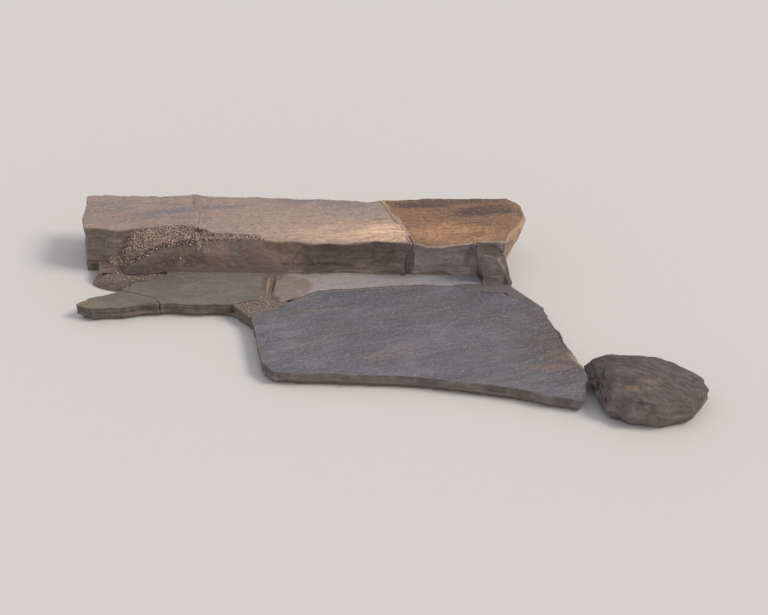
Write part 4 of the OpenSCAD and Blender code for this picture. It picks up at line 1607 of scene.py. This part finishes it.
        crown = points_of(rock)[normals_of(rock)[:, 2] > self.spill_level]
        height = np.interp(crown[:, 0], crest[:, 0], crest[:, 2])
        crown = crown[(crown[:, 0] < self.spill_right) & (crown[:, 2] > height - self.spill_low)]
        self.strew(Gravel("spilt_grains", self.spilt, seed=32), crown)

    def strew(self, grains: Gravel, spots: Points) -> None:
        """Builds loose grains on the given spots and dresses them."""
        dress(grains.build(spots), CRUSHED_STONE.material(), Slot.GRAVEL)

    def spots_on(self, bed: bpy.types.Object, foot: float) -> Points:
        """Places on a bank's top where grains may lie, well above its foot."""
        points = points_of(bed)
        return points[(normals_of(bed)[:, 2] > self.spots_level) & (points[:, 2] > foot + self.spots_above)]

    def crest(self, rock: bpy.types.Object) -> Points:
        """Finds the rock's crest.

        Args:
            rock: The finished rock.

        Returns:
            The highest place at each step from its left to its right end, one row each.
        """
        body = points_of(rock)
        steps = np.arange(body[:, 0].min(), body[:, 0].max(), self.crest_step)
        near = [body[np.abs(body[:, 0] - step) < self.crest_step] for step in steps]
        tops = np.array([part[part[:, 2].argmax()] for part in near])
        return np.column_stack((steps, tops[:, 1:]))

    def pocket_heights(self, points: Points, crest: Points, wall: Points) -> Points:
        """Heights of the gravel pocket, which rises from the rock's crest to the slabs.

        Args:
            points: Places, one row each.
            crest: The rock's crest.
            wall: Where the slabs' faces stand.

        Returns:
            One height for each point.
        """
        left = smooth_step(-points[:, 0], *self.bank_end)
        low = np.interp(points[:, 0], crest[:, 0], crest[:, 2]) + self.crest_cover
        low += (self.bank_end_top - low) * left
        front = np.interp(points[:, 0], crest[:, 0], crest[:, 1])
        back = np.interp(points[:, 0], wall[:, 0], wall[:, 1])
        tail = 1 - smooth_step(-points[:, 0], *self.bank_tail)
        rise = np.clip(self.bank_top - low, 0.0, self.bank_rise * tail)
        share = (points[:, 1] - front) / np.maximum(back - front, self.bank_deep)
        return low + np.where(share > 0, rise * np.minimum(share, 1.0), self.bank_fall * share)

    def soil_heights(self, points: Points) -> Points:
        """Heights of the soil between the rock's foot and the left flagstone."""
        reach = np.subtract(self.soil[1], self.soil[0]) / 2
        away = (points[:, :2] - np.add(*self.soil) / 2) / reach
        return self.soil_top * np.sqrt(np.clip(1 - (away**2).sum(axis=1), 0.0, 1.0))

    def slab_faces(self) -> Points:
        """Finds where the left and the middle slab's faces stand behind the rock.

        Returns:
            X and Y of the nearer face at each step along the bank, one row each.
        """
        steps = np.linspace(self.bank[0][0], self.bank[1][0], self.face_steps)
        beyond = cad_box[1][1]
        faces = []
        for node in ("left_upper_slab", "middle_upper_slab"):
            mesh = frame["nodes"][node].data
            body = BVHTree.FromPolygons([corner.co for corner in mesh.vertices],
                                        [face.vertices for face in mesh.polygons])
            hits = [body.ray_cast(Vector((step, 0.0, self.face_level)), Vector((0.0, 1.0, 0.0)))[0]
                    for step in steps]
            faces.append([beyond if hit is None else hit.y for hit in hits])
        near = np.min(faces, axis=0)
        return np.column_stack((steps, near))[near < beyond]


@dataclass
class LowerTread:
    """Four flagstones in their mortar bed."""

    mouth: Span = (-0.50, 0.05)
    mouth_reach: float = 0.10
    mouth_above: float = 0.055
    mouth_level: float = 0.8
    grains: int = 170
    grain_mm: Span = (4.0, 8.0)
    top: float = 0.065
    strip_left: Span = (0.31, 0.40)
    strip_right: Span = (0.28, 0.36)
    strip_back: Span = (0.25, 0.30)
    strip_reach: Span = (0.030, 0.032)
    left_right: Span = (-0.57, -0.48)
    left_reach: float = 0.018
    rim: Span = (0.040, 0.050)
    rim_rise: float = 0.7

    def build(self) -> None:
        """Builds the flagstones and the mortar."""
        edge = {"break_mm": 4.0, "break_span_mm": 45.0, "ledge_mm": 1.0, "ledge_tall_mm": 12.0,
                "scar_mm": 0.4, "wander_mm": 12.0, "wander_span_mm": 85.0, "chip_mm": 4.5}
        Stone("main_flagstone", Slot.BLUE_GREY_FLAGSTONE, BLUE_FLAGSTONE, Cleaving(17, 17.0, **edge),
              voxel_mm=4.6, shaping=self.square_rim).build()
        Stone("strip_flagstone", Slot.BEIGE_FLAGSTONE, BEIGE_FLAGSTONE, Cleaving(18, 3.0, **edge),
              shaping=self.fit_strip).build()
        Stone("left_flagstone", Slot.GREEN_GREY_FLAGSTONE, GREEN_FLAGSTONE, Cleaving(19, 5.0, **edge),
              shaping=self.fit_left).build()
        Stone("end_flagstone", Slot.GREEN_GREY_FLAGSTONE, GREEN_FLAGSTONE, Cleaving(20, 5.0, **edge),
              shaping=self.square_rim).build()
        mortar = Mortar("lower_mortar", joints_above_mm=30.5, joint_voxel_mm=2.8, lift_mm=3.5,
                        swell_mm=3.0).build()
        points = points_of(mortar)
        top = (normals_of(mortar)[:, 2] > self.mouth_level) & (points[:, 2] > self.mouth_above)
        near = np.abs(points[:, :2] - np.array(self.mouth)).max(axis=1) < self.mouth_reach
        loose = Gravel("joint_mouth_grains", self.grains, self.grain_mm, 33).build(points[near & top])
        dress(loose, CRUSHED_STONE.material(), Slot.GRAVEL)

    def fit_strip(self, points: Points) -> Points:
        """Brings the strip out to the wide joint and, at its right end, back to the riser."""
        points[:, 0] -= self.strip_reach[0] * smooth_step(-points[:, 0], *self.strip_left)
        right = smooth_step(points[:, 0], *self.strip_right) * smooth_step(points[:, 1], *self.strip_back)
        points[:, 1] += self.strip_reach[1] * right
        return self.square_rim(points)

    def fit_left(self, points: Points) -> Points:
        """Brings the left flagstone's right edge out to the wide joint."""
        points[:, 0] += self.left_reach * smooth_step(points[:, 0], *self.left_right)
        return self.square_rim(points)

    def square_rim(self, points: Points) -> Points:
        """Raises a flagstone's worn rim nearer to its top, so that its joints look narrow."""
        rim = smooth_step(points[:, 2], *self.rim)
        points[:, 2] += rim * self.rim_rise * (self.top - points[:, 2])
        return points


@dataclass
class EdgingBoulder:
    """The boulder beside the lower tread."""

    shoulder: float = 0.055
    height: float = 0.215
    settled: float = 0.068
    slope: Span = (0.93, 1.25)
    slope_drop: float = 0.055
    lift: float = 0.022
    lift_x: Span = (0.79, 0.93)
    middle: Span = (0.998, -0.498)
    squareness: float = 0.45
    far_side: Span = (-0.02, 0.10)

    def build(self) -> None:
        """Builds the boulder."""
        Stone("edging_boulder", Slot.GREY_BOULDER, GREY_BOULDER,
              Cleaving(22, -30.0, swell_mm=6.0, layer_span_mm=(160.0, 90.0), ridge_mm=0.6, break_mm=7.0,
                       break_span_mm=130.0, ledge_mm=0.5, rough_mm=2.0, wander_mm=5.0),
              voxel_mm=4.5, rounding=30, shaping=self.settle).build()

    def settle(self, points: Points) -> Points:
        """Squares the boulder's shoulders, lifts its left one, and lowers its crown towards the right.

        Args:
            points: Places, one row each.

        Returns:
            The moved places.
        """
        high = np.clip((points[:, 2] - self.shoulder) / (self.height - self.shoulder), 0.0, 1.0)
        middle = np.array(self.middle)
        square = self.squareness * (1 - smooth_step(points[:, 1] - middle[1], *self.far_side))
        points[:, :2] = middle + (points[:, :2] - middle) * (1 + square * high * high)[:, None]
        left = 1 - smooth_step(points[:, 0], *self.lift_x)
        points[:, 2] += self.lift * left * np.sqrt(high)
        right = smooth_step(points[:, 0], *self.slope)
        points[:, 2] -= high * (self.settled + self.slope_drop * right)
        return points


@dataclass
class Studio:
    """Floor, light and camera."""

    floor: str = "#dcd9d4"
    floor_side: float = 60.0
    floor_roughness: float = 0.9
    floor_gloss: float = 0.1
    sky: str = "#f4f5ff"
    sky_strength: float = 0.62
    sun: str = "#fff6ea"
    sun_strength: float = 1.6
    sun_soft_deg: float = 24.0
    sun_from: Size = (0.66, -0.12, 0.74)
    eye: Size = (-1.026, -6.513, 4.455)
    aim: Size = (0.0, 0.0, 0.11)
    lens_mm: float = 92.0
    sensor_mm: float = 36.0

    def build(self) -> None:
        """Sets the stage, the lamps and the camera."""
        self.set_floor()
        self.set_world()
        self.set_key()
        self.set_camera()

    def set_floor(self) -> None:
        """Lays a plain pale floor."""
        bpy.ops.object.select_all(action="DESELECT")
        bpy.ops.mesh.primitive_plane_add(size=self.floor_side)
        plane = bpy.context.active_object
        plane.name = "floor"
        material = blank_material("pale_floor")
        surface(material.node_tree, {"Base Color": linear(self.floor), "Roughness": self.floor_roughness,
                                     "Specular IOR Level": self.floor_gloss})
        plane.data.materials.append(material)

    def set_world(self) -> None:
        """Fills the scene with soft light, and shows the floor's colour behind it."""
        world = bpy.data.worlds.new("soft_light")
        bpy.context.scene.world = world
        world.use_nodes = True
        tree = world.node_tree
        tree.nodes.clear()
        seen = add(tree, "ShaderNodeLightPath", {}, {}).outputs["Is Camera Ray"]
        soft, shown = (
            add(tree, "ShaderNodeBackground", {}, {"Color": linear(colour), "Strength": strength})
            for colour, strength in ((self.sky, self.sky_strength), (self.floor, 1.0)))
        mixed = add(tree, "ShaderNodeMixShader", {}, {
            0: seen, 1: soft.outputs["Background"], 2: shown.outputs["Background"]})
        add(tree, "ShaderNodeOutputWorld", {}, {"Surface": mixed.outputs["Shader"]})

    def set_key(self) -> None:
        """Sets a soft sun high over the right side, a little towards the camera."""
        bpy.ops.object.light_add(type="SUN", location=self.sun_from)
        lamp = bpy.context.active_object
        lamp.name = "key_light"
        lamp.data.energy = self.sun_strength
        lamp.data.angle = math.radians(self.sun_soft_deg)
        lamp.data.color = linear(self.sun)[:3]
        lamp.rotation_euler = (-Vector(self.sun_from)).to_track_quat("-Z", "Y").to_euler()

    def set_camera(self) -> None:
        """Puts the camera at the photograph's viewpoint, levelled by the object's front edge."""
        eye = Vector(self.eye)
        ahead = (Vector(self.aim) - eye).normalized()
        upward = Vector((1.0, 0.0, 0.0)).cross(ahead).normalized()
        right = ahead.cross(upward)
        turned = Matrix((right, upward, -ahead)).transposed().to_4x4()
        bpy.ops.object.camera_add()
        camera = bpy.context.active_object
        camera.name = "camera"
        camera.matrix_world = Matrix.Translation(eye) @ turned
        camera.data.lens = self.lens_mm
        camera.data.sensor_width = self.sensor_mm
        bpy.context.scene.camera = camera


def main() -> None:
    """Builds the steps and the studio."""
    logging.basicConfig(level=logging.INFO, format="%(message)s")
    bpy.context.scene.view_settings.view_transform = "Standard"
    for group in (UpperTread(), RiserEnds(), LowerTread(), EdgingBoulder(), Studio()):
        log.info("building %s", type(group).__name__)
        group.build()


if __name__ == "__main__":
    main()
